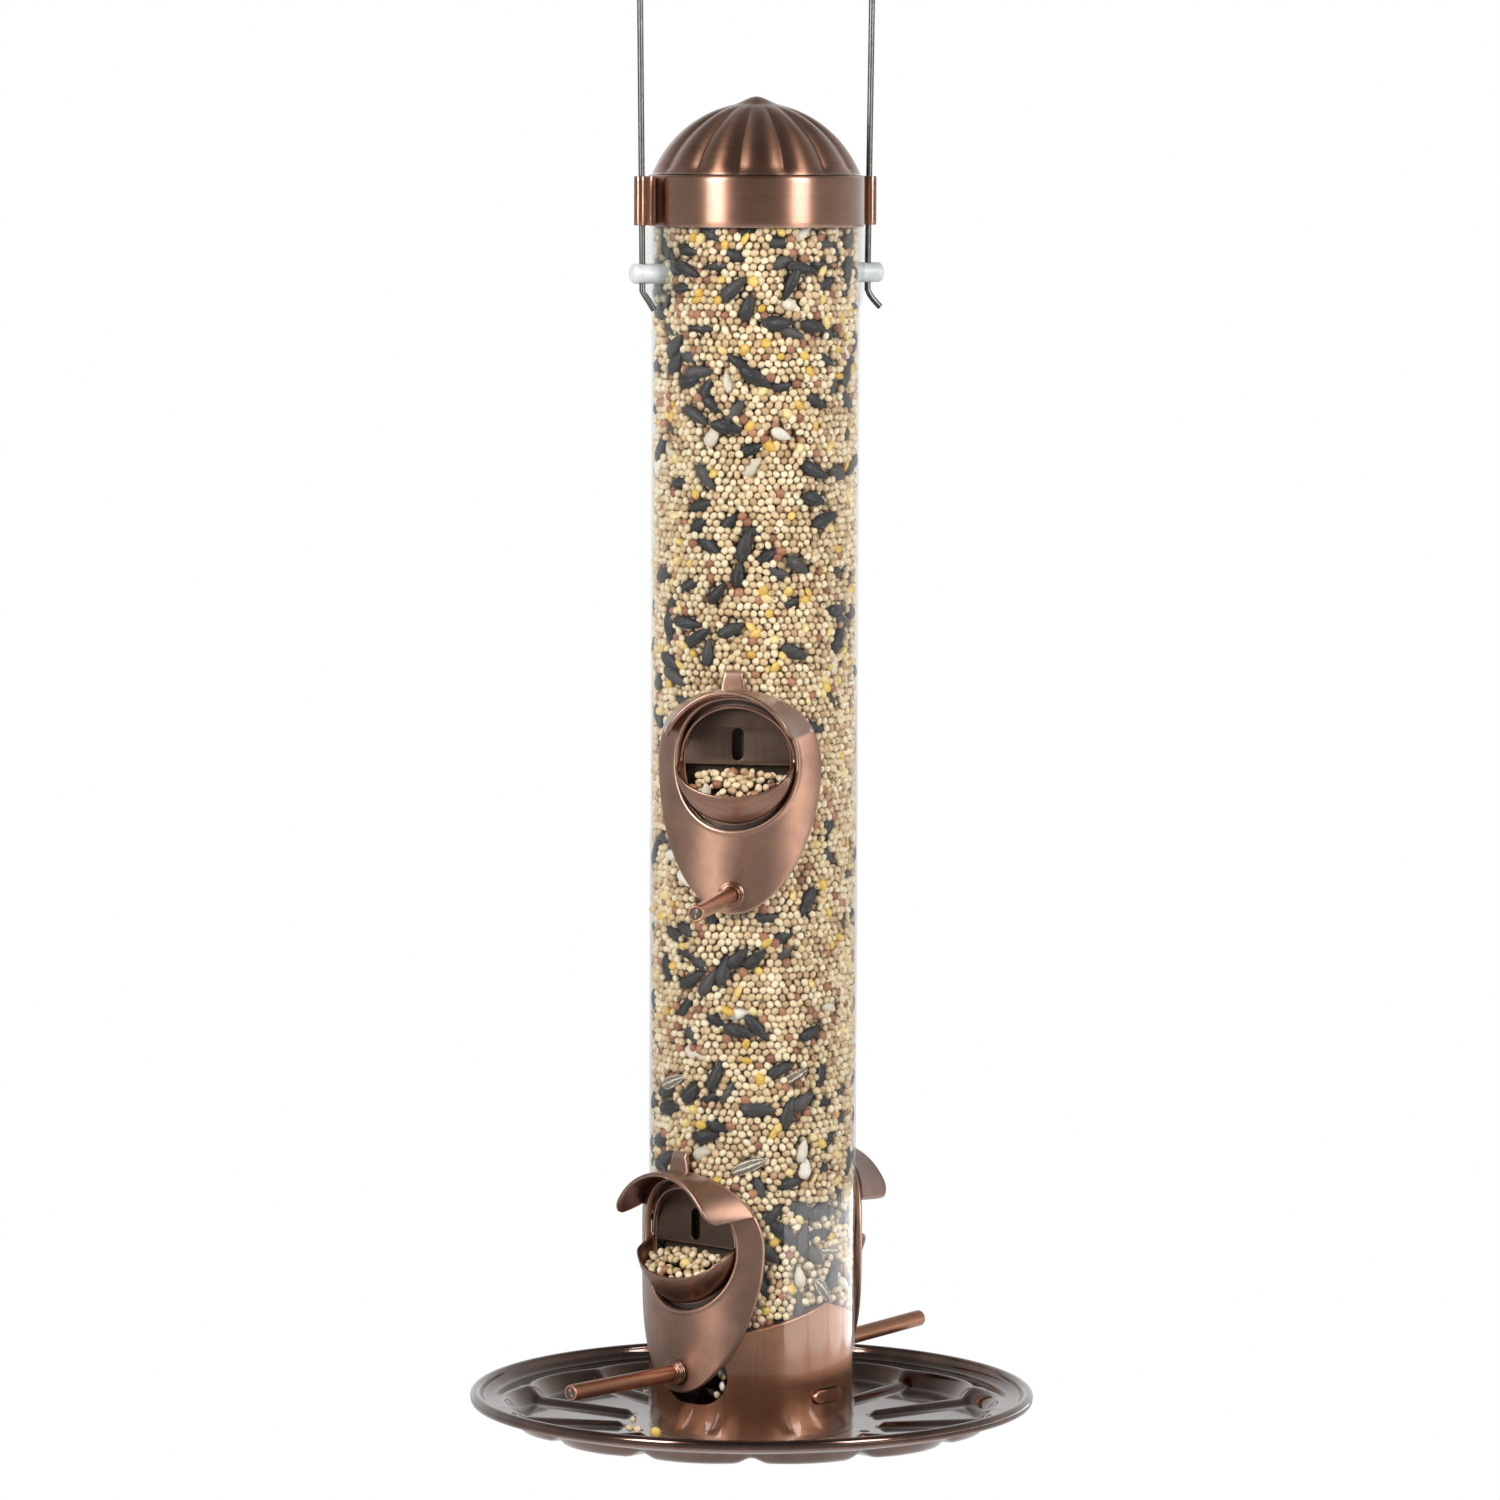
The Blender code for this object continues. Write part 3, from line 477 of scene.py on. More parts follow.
def clear_plastic(name, tint, ior):
    """Thin clear wall: light passes straight through, and gloss grows towards the edges."""
    made = surface(name)
    made.tree.nodes.remove(made.shader)
    through = made.add("ShaderNodeBsdfTransparent")
    through.inputs["Color"].default_value = (*tint, 1.0)
    gloss = made.add("ShaderNodeBsdfGlossy")
    gloss.inputs["Color"].default_value = (1.0, 1.0, 1.0, 1.0)
    smears = made.noise(made.solid(14.0), detail=4.0)
    made.link(made.spread(smears, 0.02, 0.09), gloss.inputs["Roughness"])
    fresnel = made.add("ShaderNodeFresnel")
    fresnel.inputs["IOR"].default_value = ior
    facing = made.add("ShaderNodeNewGeometry")
    outside = made.math("SUBTRACT", 1.0, facing.outputs["Backfacing"])
    both = made.add("ShaderNodeMixShader")
    made.link(made.math("MULTIPLY", fresnel.outputs["Fac"], outside), both.inputs["Fac"])
    made.link(through.outputs["BSDF"], both.inputs[1])
    made.link(gloss.outputs["BSDF"], both.inputs[2])
    made.link(both.outputs["Shader"], made.tree.nodes["Material Output"].inputs["Surface"])
    return made.owner


def nylon(name):
    made = surface(name)
    made.base(Roughness=0.42, Subsurface_Weight=0.35, Subsurface_Scale=0.002, IOR=1.53)
    made.shader.inputs["Subsurface Radius"].default_value = (1.0, 1.0, 1.0)
    cloud = made.noise(made.solid(3.0), detail=4.0)
    made.link(made.ramp(cloud, (0.3, (0.52, 0.54, 0.54)), (0.7, (0.66, 0.68, 0.67))),
              made.shader.inputs["Base Color"])
    made.bump(cloud, 0.03)
    return made.owner


def steel(name, bright, dark, roughness, along, across):
    made = surface(name)
    made.base(Metallic=1.0)
    lines = made.noise(made.grain(along, across), detail=4.0)
    patches = made.noise(made.solid(5.0), detail=4.0)
    both = made.blend(lines, patches, 0.6)
    made.link(made.ramp(both, (0.35, dark), (0.62, bright)), made.shader.inputs["Base Color"])
    made.link(made.spread(both, roughness - 0.08, roughness + 0.1),
              made.shader.inputs["Roughness"])
    made.bump(lines, 0.012)
    return made.owner


def seed_material(name, stops, roughness, tip=None, stripes=None, gloss=0.5, lined=0.32):
    """Husk of one kind of seed: a tone for each seed, a mottled skin, a dark tip or stripes."""
    made = surface(name)
    made.base(Roughness=roughness, Specular_IOR_Level=gloss)
    each = made.add("ShaderNodeNewGeometry").outputs["Random Per Island"]
    tone = made.ramp(each, *stops)
    skin = made.noise(made.solid(0.9), detail=4.0)
    tone = made.mix(made.spread(skin, 0.0, 0.55), tone,
                    made.mix(1.0, tone, (0.62, 0.52, 0.42), blend="MULTIPLY"))
    split = made.add("ShaderNodeSeparateXYZ")
    made.link(made.add("ShaderNodeUVMap", uv_map="grain").outputs["UV"], split.inputs["Vector"])
    if tip is not None:
        spot = made.ramp(split.outputs["Y"], (0.10, 1.0), (0.17, 0.0))
        some = made.math("GREATER_THAN", made.math("FRACT", made.math("MULTIPLY", each, 37.0)), 0.45)
        tone = made.mix(made.math("MULTIPLY", spot, some), tone, tip)
    if stripes is not None:
        around = made.math("SINE", made.math("MULTIPLY", split.outputs["X"], 44.0))
        lines = made.ramp(made.math("ADD", made.math("MULTIPLY", around, lined), skin),
                          (0.62, 0.0), (0.78, 1.0))
        tone = made.mix(lines, tone, stripes)
    made.link(tone, made.shader.inputs["Base Color"])
    made.bump(skin, 0.12, 0.6)
    return made.owner


CAST = copper("cast_copper", (0.40, 0.225, 0.152), (0.25, 0.136, 0.094), 0.40, 0.35, 0.5,
              patina=0.6, depth=0.02, wear=0.9, brushed=0.55, turn=0.25,
              coat=1.0, coat_roughness=0.24)
SPUN = copper("spun_copper", (0.36, 0.185, 0.118), (0.23, 0.115, 0.072), 0.38, 60.0, 0.16,
              patina=0.35, depth=0.012, wear=0.4, brushed=0.9, turn=0.25,
              coat=1.0, coat_roughness=0.17)
DOME = copper("pressed_copper", (0.38, 0.190, 0.120), (0.21, 0.105, 0.066), 0.32, 40.0, 0.16,
              patina=0.35, depth=0.010, wear=0.2, brushed=0.8, turn=0.25,
              coat=0.9, coat_roughness=0.2)
ROLLED = copper("rolled_copper", (0.52, 0.245, 0.135), (0.36, 0.160, 0.085), 0.38, 0.22, 60.0,
                patina=0.4, depth=0.008, wear=0.3, brushed=0.6, coat=0.4, coat_roughness=0.25)
DISH = copper("tray_copper", (0.145, 0.073, 0.050), (0.075, 0.037, 0.026), 0.15, 9.0, 3.0,
              patina=0.8, depth=0.004, wear=0.25, coat=1.0, coat_roughness=0.04)
CUP = copper("cup_copper", (0.36, 0.195, 0.130), (0.20, 0.105, 0.070), 0.36, 30.0, 0.25,
             patina=0.4, depth=0.012, brushed=0.5, turn=0.25, coat=0.6, coat_roughness=0.25)
# Painted shade: a near-black copper for the baffle under the visor and the flange behind the cup, darkened
# to the shade that falls in those places.
SHADE_COPPER = copper("painted_shade_copper", (0.10, 0.060, 0.040), (0.055, 0.032, 0.022), 0.42, 0.4, 14.0,
                patina=0.5, depth=0.012, coat=0.4, coat_roughness=0.35)
PERCH_END = copper("sawn_copper", (0.16, 0.13, 0.12), (0.07, 0.06, 0.055), 0.5, 1.0, 1.0,
                   depth=0.03, wear=0.5)
CLEAR = clear_plastic("clear_tube", (0.985, 0.99, 0.988), 1.5)
CLEAR_PATCH = clear_plastic("clear_patch", (0.93, 0.945, 0.94), 1.55)
NYLON = nylon("white_nylon")
WIRE = steel("bail_steel", (0.17, 0.165, 0.155), (0.09, 0.087, 0.080), 0.34, 0.5, 14.0)
ZINC = steel("zinc_steel", (0.62, 0.62, 0.60), (0.34, 0.34, 0.33), 0.34, 3.0, 0.5)

MILLET = seed_material("millet", ((0.0, (0.48, 0.31, 0.16)), (0.2, (0.68, 0.50, 0.29)),
                                  (0.55, (0.81, 0.66, 0.42)), (1.0, (0.92, 0.82, 0.60))),
                       0.42, tip=(0.23, 0.13, 0.06))
MILO = seed_material("milo", ((0.0, (0.26, 0.10, 0.05)), (1.0, (0.48, 0.22, 0.12))),
                     0.45, tip=(0.10, 0.04, 0.02))
CORN = seed_material("cracked_corn", ((0.0, (0.70, 0.42, 0.06)), (0.5, (0.82, 0.58, 0.14)),
                                      (1.0, (0.88, 0.76, 0.42))), 0.5)
HEART = seed_material("seed_heart", ((0.0, (0.62, 0.56, 0.44)), (1.0, (0.86, 0.82, 0.72))), 0.5)
BLACK = seed_material("black_sunflower", ((0.0, (0.014, 0.014, 0.015)), (0.6, (0.030, 0.029, 0.030)),
                                          (1.0, (0.075, 0.070, 0.067))), 0.52,
                      stripes=(0.14, 0.13, 0.12), gloss=0.35, lined=0.10)
STRIPED = seed_material("striped_sunflower", ((0.0, (0.10, 0.08, 0.06)), (1.0, (0.20, 0.17, 0.13))),
                        0.5, stripes=(0.72, 0.66, 0.52))
# Painted shade: the bulk behind the outer seed layers is near black and stands in for the shade deep in
# the gaps between seeds.
SHADE_SEED = seed_material("painted_shade_seed_core", ((0.0, (0.06, 0.045, 0.03)), (1.0, (0.07, 0.055, 0.035))), 0.8)


# ---------------------------------------------------------------- feeding ports

def shield_reach(angle):
    """The egg-shaped outline's reach from the port's centre, on the unrolled plate."""
    t = np.linspace(0, math.pi / 2, 200)
    upper = np.stack([30.0 * np.sin(t), 24.0 * np.cos(t)], axis=1)
    lower = np.stack([30.0 * np.cos(t) * (1 - 0.16 * np.sin(t) ** 2), -47.2 * np.sin(t)], axis=1)
    half = np.concatenate([upper, lower[1:]])
    polar = np.arctan2(half[:, 1], half[:, 0])[::-1]
    reach = np.linalg.norm(half, axis=1)[::-1]
    folded = np.arcsin(np.sin(angle))
    return np.interp(folded, polar, reach)


def shield_section(length):
    """(distance from the opening's edge, height) around the plate's section, edges rounded."""
    lip = min(1.0, length / 6.0)
    inner = [(0.35, -1.9), (0.0, -1.5), (0.0, -0.65), (0.08, -0.3), (0.3, 0.0), (0.62 * lip, 0.16),
             (0.95 * lip, 0.2), (1.35 * lip, 0.12), (1.9 * lip, 0.0)]
    start, stop = 1.9 * lip + 0.3, length - 1.15
    front = [(start + (stop - start) * i / 9, 0.0) for i in range(10)]
    outer = [(length - 0.8, -0.03), (length - 0.45, -0.14), (length - 0.18, -0.36),
             (length - 0.04, -0.7), (length, -1.1), (length - 0.1, -1.6), (length - 0.4, -1.9)]
    return inner + front + outer


def shield_plate(name):
    count = 168
    columns = []
    for j in range(count):
        angle = 2 * math.pi * j / count
        near = OPENING_R * np.array([math.cos(angle), math.sin(angle)])
        far = float(shield_reach(angle)) * np.array([math.cos(angle), math.sin(angle)])
        length = float(np.linalg.norm(far - near))
        way = (far - near) / length
        column = []
        for s, n in shield_section(length):
            wide, tall = near + way * s
            turn = wide / SHIELD_R
            column.append(((SHIELD_R + n) * math.sin(turn), tall, (SHIELD_R + n) * math.cos(turn)))
        columns.append(column)
    made = grid(name, np.array(columns).transpose(1, 0, 2), CAST, close_v=True)
    face_out(made)
    flat_grain(made)
    return made


def flat_grain(obj):
    """Lays the grain map straight up the plate, as if the tube's wall were unrolled."""
    mesh = obj.data
    layer = mesh.uv_layers["grain"]
    for loop in mesh.loops:
        spot = mesh.vertices[loop.vertex_index].co
        layer.data[loop.index].uv = (SHIELD_R * math.atan2(spot.x, spot.z), spot.y)


def visor(name):
    """Hood over the opening. Its root follows the plate's outline, its front is a lower arch
    with well rounded corners, and its lower edges run level."""
    front_r, front_v, out, lowest = 21.6, 23.3, 43.8, 8.9
    corner, inset = 5.5, 0.75
    cols, rows = 112, 24
    points = np.zeros((rows, cols, 3))
    start_back = math.asin(lowest / 24.6)
    start_front = math.asin(lowest / front_v)
    for j in range(cols):
        t = j / (cols - 1)
        back = start_back + (math.pi - 2 * start_back) * t
        front = start_front + (math.pi - 2 * start_front) * t
        reach = float(shield_reach(back)) - inset
        arc_x = reach * math.cos(back)
        from_end = front_r * min(t, 1 - t) * (math.pi - 2 * start_front)
        bite = corner - min(from_end, corner)
        short = corner - math.sqrt(max(0.0, corner ** 2 - bite ** 2))
        low = np.array([SHIELD_R * math.sin(arc_x / SHIELD_R), reach * math.sin(back),
                        SHIELD_R * math.cos(arc_x / SHIELD_R) - 0.5])
        tip = np.array([front_r * math.cos(front), front_v * math.sin(front),
                        out - short * 0.8])
        knee = np.array([tip[0] * 1.035, tip[1] * 1.02, low[2] * 0.35 + tip[2] * 0.65])
        for i in range(rows):
            u = i / (rows - 1)
            points[i, j] = (1 - u) ** 2 * low + 2 * u * (1 - u) * knee + u ** 2 * tip
    return sheet(grid(name, points, CAST, close_u=False), 1.45, 0.6, 5)


def bracket(name):
    """Tab above the plate, bent over at its top into the hook that holds in the tube's slot."""
    path = [(34.9, 21.5), (34.6, 24.5), (34.45, 26.5), (34.4, 28.2), (34.15, 28.9), (33.6, 29.2),
            (32.9, 29.25)]
    half = 3.7
    rows = []
    for out, v in path:
        taper = half - 0.9 * float(smooth_step((v - 25.8) / 1.6))
        rows.append([(x * taper / half, v, out) for x in np.linspace(-half, half, 9)])
    return sheet(grid(name, rows, CAST, close_u=False), 1.1, 0.25)


def make_shield(label, place):
    plate_piece = settle(shield_plate(label + "_plate"), sharp=60)
    body = join(plate_piece, visor(label + "_visor"), bracket(label + "_bracket"))
    body.name = label + "_shield_cast"
    settle(body, place, sharp=60)
    return put(body, "feeder", "antique_copper", label + "_shield")


def cup_meridian(angle):
    """(radius, out) points of the cup's mid sheet at an angle about the port's axis, from its
    sleeve to its rim. The upper half is trimmed to the plate's curve, and the scoop below
    runs down to its sloping lip."""
    slope, root = 9.4 / 7.0, 25.5
    sine, cosine = math.sin(angle), math.cos(angle)
    trim = math.sqrt(33.6 ** 2 - (CUP_MID_R * cosine) ** 2) - 1.4
    climb = float(smooth_step((sine + 0.20) / 0.26))
    sleeve = CUP_SHOULDER + (min(CUP_SHOULDER, trim) - CUP_SHOULDER) * climb
    points = [(CUP_MID_R, root + (sleeve - root) * i / 5) for i in range(6)]
    last = math.radians(90)
    steps = 240
    for i in range(1, steps):
        a = math.radians(90 - 68 * i / steps)
        r, out = CUP_MID_R * math.sin(a), CUP_SHOULDER + CUP_BULGE * math.cos(a)
        if out > 33.4 and r * sine > -1.0 - slope * (out - 33.4):
            break
        last = a
    rows = 14
    for i in range(1, rows + 1):
        a = math.radians(90) + (last - math.radians(90)) * i / rows
        points.append((CUP_MID_R * math.sin(a), sleeve + CUP_BULGE * math.cos(a)))
    return points


def cup_shade_flange(label):
    """Thin flange that holds the cup against the inside of the tube's wall, in near-black copper that is
    painted shade for the gap round the cup.
    """
    cols, inner, outer, face = 120, CUP_R - 0.2, 22.0, 31.85
    rows = []
    for r in np.linspace(inner, outer, 5):
        ring = []
        for j in range(cols):
            a = 2 * math.pi * j / cols
            turn = r * math.cos(a) / TUBE_R
            ring.append((face * math.sin(turn), r * math.sin(a), face * math.cos(turn)))
        rows.append(ring)
    return sheet(grid(label + "_flange", rows, SHADE_COPPER), 0.3)


def make_cup(label, place):
    cols = 144
    columns = []
    for j in range(cols):
        angle = 2 * math.pi * (j + 0.5) / cols
        columns.append([(r * math.cos(angle), r * math.sin(angle), out)
                        for r, out in cup_meridian(angle)])
    scoop = grid(label + "_cup_scoop", np.array(columns).transpose(1, 0, 2), CUP)
    sheet(scoop, 1.0, 0.3, angle=55)

    upper = arc((0, 0), CUP_R - 0.7, -1.6, 181.6, 48)
    slot = [(y, x + 5.9) for x, y in obround(5.0, 1.8, 10)]
    # The baffle's near-black copper is painted shade from the visor over it.
    baffle = plate(label + "_baffle", [upper, slot], 26.0, 27.0, SHADE_COPPER, edge=0.3)
    settle(baffle, sharp=50)
    cup = join(scoop, baffle, cup_shade_flange(label))
    cup.name = label + "_seed_cup"
    settle(cup, place, sharp=50)
    return put(cup, "feeder", "antique_copper", label + "_cup")


def make_perch(label, place):
    at = place @ Matrix.Translation((0, -PERCH_DROP, 0))
    turn, rise = PERCH_LEAN.get(label, (0.0, 0.0))
    hole = Matrix.Translation((0, 0, TUBE_R))
    lean = Matrix.Rotation(math.radians(turn), 4, "Y") @ Matrix.Rotation(math.radians(-rise), 4, "X")
    tip, root = 84.5, 28.6
    nose = 0.45
    edge = arc((PERCH_R - nose, tip - nose), nose, 0, 90, 5)
    profile = [(0.02, root), (PERCH_R, root)] + [(PERCH_R, root + (tip - root) * i / 12)
                                                 for i in range(1, 12)]
    profile += edge + [(PERCH_R - 0.62, tip - 0.06), (PERCH_R - 0.75, tip - 0.3)]
    rod = turned(label + "_rod", profile, ROLLED, 64, sharp=35, closed=False)
    end = lathe(label + "_end", [(PERCH_R - 0.75, tip - 0.3), (1.2, tip - 0.24), (0.02, tip - 0.2)],
                PERCH_END, 64)
    settle(end, sharp=35)
    perch = join(rod, end)
    perch.name = label + "_perch_rod"
    settle(perch, at @ hole @ lean @ hole.inverted(), sharp=35)
    put(perch, "feeder", "antique_copper", label + "_perch")

    ribs, pitch, low = 3, 0.95, SHIELD_R + 0.25
    profile = [(PERCH_R + 0.05, low), (3.2, low)]
    for i in range(ribs):
        middle = low + (i + 0.5) * pitch
        profile += arc((3.75, middle), 0.34, -90, 90, 8)
        profile += [(3.15, middle + 0.36)]
    top = low + ribs * pitch
    profile += [(3.1, top), (PERCH_R + 0.25, top + 0.05), (PERCH_R + 0.05, top - 0.1)]
    collar = turned(label + "_collar_rings", profile, SPUN, 72, at)
    put(collar, "feeder", "antique_copper", label + "_perch_collar")


# ---------------------------------------------------------------- tube, plug and catches

def make_tube():
    inner = TUBE_R - TUBE_WALL
    lip = 0.25
    profile = [(inner, TUBE_TOP - lip), (inner, TUBE_FOOT + lip), (inner + lip, TUBE_FOOT),
               (TUBE_R - lip, TUBE_FOOT), (TUBE_R, TUBE_FOOT + lip), (TUBE_R, TUBE_TOP - lip),
               (TUBE_R - lip, TUBE_TOP), (inner + lip, TUBE_TOP)]
    tube = lathe("clear_seed_tube", profile, CLEAR, 192, closed=True)
    face_out(tube)
    back = feeder_frame().inverted()
    hook_slot = [(-3.1, 28.0), (3.1, 28.0), (3.1, 29.8), (-3.1, 29.8)]
    cutters = []
    for height, turn in port_turns():
        place = back @ port_frame(turn, height)
        for outline in (ring(PORT_HOLE_R, count=60), ring(PERCH_R + HOLE_GAP, (0, -PERCH_DROP)),
                        hook_slot):
            cutters.append(cutter(outline, place))
    for azimuth in CATCHES.values():
        cutters.append(cutter(obround(*CATCH_SLOT), back @ port_frame(azimuth, CATCH_Z)))
    for azimuth in (90, -90):
        cutters.append(cutter(ring(ROD_R + HOLE_GAP), back @ port_frame(azimuth, ROD_Z)))
    punch(tube, cutters, feeder_frame())
    return put(tube, "feeder", "clear_plastic", "tube")


def roof_height(x, y, ridge_azimuth):
    """Height of the plug's gabled roof over a point of its plan, in millimetres."""
    turn = math.radians(ridge_azimuth)
    across = abs(x * math.sin(turn) - y * math.cos(turn))
    return RIDGE_Z - ROOF_SLOPE * across


def make_plug():
    """Copper plug: a brushed skirt, a rounded edge, and a gabled roof under the seed."""
    azimuth = PORTS["lower"][1]
    cols, roof_rows, wall_rows, fold = 192, 14, 16, 0.7
    rows = [[] for _ in range(wall_rows + 5 + roof_rows)]
    for j in range(cols):
        a = 2 * math.pi * j / cols
        dx, dy = math.sin(a), -math.cos(a)
        top = roof_height(PLUG_R * dx, PLUG_R * dy, azimuth)
        rise = (top - fold - PLUG_FOOT) / (wall_rows - 1)
        column = [(PLUG_R, PLUG_FOOT + rise * i) for i in range(wall_rows)]
        column += [(PLUG_R - fold + fold * math.cos(b), top - fold + fold * math.sin(b))
                   for b in (math.radians(15 + 17 * k) for k in range(5))]
        for i in range(roof_rows):
            r = (PLUG_R - fold - 0.4) * (1 - i / roof_rows) + 0.02
            column.append((r, roof_height(r * dx, r * dy, azimuth)))
        for row, (r, z) in zip(rows, column):
            row.append((r * dx, r * dy, z))
    plug = grid("copper_base_plug", rows, ROLLED)
    face_out(plug)
    if plug.data.polygons[0].normal.dot(plug.data.polygons[0].center) < 0:
        plug.data.flip_normals()
    solidify(plug, 0.8, -1.0)
    back = feeder_frame().inverted()
    cutters = []
    for side in (0, 180):
        window = back @ port_frame(azimuth + NUT_WINDOW_TURN + side, NUT_WINDOW_Z)
        cutters.append(cutter(obround(*NUT_WINDOW, count=18), window, 22))
    for turn in CATCHES.values():
        cutters.append(cutter(obround(*CATCH_SLOT), back @ port_frame(turn, CATCH_Z), 22))
    punch(plug, cutters)

    profile = arc((3.9, 5.9), 0.6, -90, 0, 4) + [(4.5, RIDGE_Z - 2.0)]
    plug = join(plug, turned("post", profile, ROLLED, 48, sharp=35, closed=False))
    settle(plug, feeder_frame(), sharp=40)
    return put(plug, "feeder", "antique_copper", "base_plug")


def make_catch(body, azimuth):
    """Snap catch: an obround button with a faceted snout, on its springy leaf."""
    face = TUBE_R + 0.3
    button = plate(body + "_button", [obround(6.35, 2.1, 14)], 28.8, face, ROLLED, edge=0.35)
    wedge = plate("wedge", [[(-12, -8), (12, -8), (12, 8), (-12, 8)]], 0, 8)
    lean = (Matrix.Translation((1.2, 0.2, face - 0.9)) @ Matrix.Rotation(math.radians(-32), 4, "Z")
            @ Matrix.Rotation(math.radians(11), 4, "X") @ Matrix.Translation((0, 8, 0)))
    settle(wedge, lean)
    punch(button, [wedge], sharp=25)
    leaf = plate(body + "_leaf", [[(-4.2, -3.0), (4.2, -3.0), (4.2, 17.9), (-4.2, 17.9)]],
                 28.7, 29.4, ROLLED, edge=0.15)
    settle(leaf)
    made = join(button, leaf)
    made.name = body + "_snap"
    settle(made, port_frame(azimuth, CATCH_Z), sharp=30)
    node = "base_catch_right" if body == "catch_right" else "base_catch_left"
    return put(made, body, "antique_copper", node)


# ---------------------------------------------------------------- tray

def smooth_step(t):
    t = np.clip(t, 0.0, 1.0)
    return t * t * (3 - 2 * t)


def dish_floor(radius):
    """Top of the petals' floors, which fall in a shallow cone to the flat seat of the tube."""
    return SHEET - DISH_DROP * np.clip((DISH_TO - radius) / (DISH_TO - DISH_FROM), 0.0, 1.0)


def tray_top(radius, angle):
    """Height of the pressed sheet from the seat to the ledge: a scalloped outer wall and low
    ribs that widen outwards, over the petals' floors."""
    rib_up, rib_top, rib_side, rib_widening = 1.75, 0.45, 2.0, 3.4
    inner, outer, scallop_r, wall = 41.0, 80.2, 34.0, 5.4
    pitch = 2 * math.pi / PETALS
    off = (angle + pitch / 2) % pitch - pitch / 2
    to_rib = radius * np.sin(np.abs(off))
    middle = np.abs(off) - pitch / 2
    x, y = radius * np.sin(middle), radius * np.cos(middle)
    to_ledge = scallop_r - np.hypot(x, y - (outer - scallop_r))
    wall_rise = (LEDGE - SHEET) * (1 - smooth_step(to_ledge / wall))
    spread = rib_side + rib_widening * smooth_step((radius - inner) / 36.0)
    end = smooth_step((radius - inner + 1.2) / 3.4)
    rib_rise = rib_up * end * (1 - smooth_step((to_rib - rib_top) / spread))
    return dish_floor(radius) + (wall_rise ** 3 + rib_rise ** 3) ** (1 / 3)


def make_tray():
    crest, edge_r, roll = 10.3, 90.15, 1.7
    low = SHEET - DISH_DROP
    seat = [(2.3, 5.0), (4.5, 5.0), (7.8, 5.0), (8.5, 4.75), (9.0, 4.1), (9.6, 1.7), (10.1, low + 0.4)]
    seat += [(r, low) for r in (11.0, 20.0, 30.0, 36.0, 38.4)]
    ribbed = [(r, None) for r in np.arange(39.0, 81.0, 0.7)]
    cove = [(r, LEDGE + rise) for r, rise in ((81.8, 0), (83.1, 0.04), (84.3, 0.25), (85.4, 0.75),
                                              (86.3, 1.5), (86.9, 2.4))]
    curl = arc((edge_r - roll, crest - roll), roll, 160, -12, 14)
    hem = [(edge_r - 0.04, crest - 2.4), (edge_r - 0.12, crest - 3.0), (edge_r - 0.4, crest - 3.5)]
    profile = seat + ribbed + cove + curl + hem
    cols = PETALS * 24
    angles = azimuths(cols)
    rows = [round_row(r, tray_top(r, angles) if z is None else z, angles) for r, z in profile]
    tray = grid("pressed_copper_tray", np.array(rows), DISH)
    face_up(tray, cols * 10)
    solidify(tray, 0.88, -1.0)
    turns = [2 * math.pi * i / DRAINS for i in range(DRAINS)]
    spots = [(DRAIN_RING_R * math.sin(a), -DRAIN_RING_R * math.cos(a)) for a in turns]
    drains = [cutter(ring(DRAIN_R, spot), None, -5, 4) for spot in spots]
    punch(tray, drains, feeder_frame(TRAY_TURN), 45)
    return put(tray, "feeder", "tray_copper", "tray")


# ---------------------------------------------------------------- hanger

def make_patches():
    """Clear tongues on the tube's wall about the hanger rod."""
    half, top, face = 11.5, 381.7 - ROD_Z, 34.3
    for node, azimuth in (("hanger_patch_right", 90), ("hanger_patch_left", -90)):
        rows = []
        for i in range(40):
            t = i / 39
            v = top - (top + half) * t
            wide = half if v > 0 else math.sqrt(max(half ** 2 - v ** 2, 0.04))
            turns = [wide * x / face for x in np.linspace(-1, 1, 25)]
            rows.append([(face * math.sin(a), v, face * math.cos(a)) for a in turns])
        patch = grid(node.replace("hanger", "clear"), rows, CLEAR_PATCH, close_u=False)
        face_up(patch)
        solidify(patch, 0.9, -0.2)
        bevel(patch, 0.2, 3, 50)
        punch(patch, [cutter(ring(ROD_R + HOLE_GAP))], port_frame(azimuth, ROD_Z), 50)
        put(patch, "feeder", "clear_plastic", node)


def make_rod():
    half, shift, nose = 43.4, 0.6, 1.6
    end = [(0.02, half)] + arc((ROD_R - nose, half - nose), nose, 90, 0, 8)
    body = [(ROD_R, half - nose - (2 * half - 2 * nose) * i / 20) for i in range(1, 21)]
    foot = [(r, -z) for r, z in reversed(end)]
    rod = lathe("nylon_hanger_rod", (end + body[:-1] + foot)[::-1], NYLON, 64)
    face_out(rod)
    lie = Matrix.Rotation(math.radians(90), 4, "X")
    holes = [cutter(ring(WIRE_HOLE_R), Matrix.Translation((0, 0, x - shift)) @ lie, -6, 6)
             for x in (WIRE_X, -WIRE_X)]
    punch(rod, holes, port_frame(90, ROD_Z) @ Matrix.Translation((0, 0, shift)))
    return put(rod, "feeder", "white_nylon", "hanger_rod")


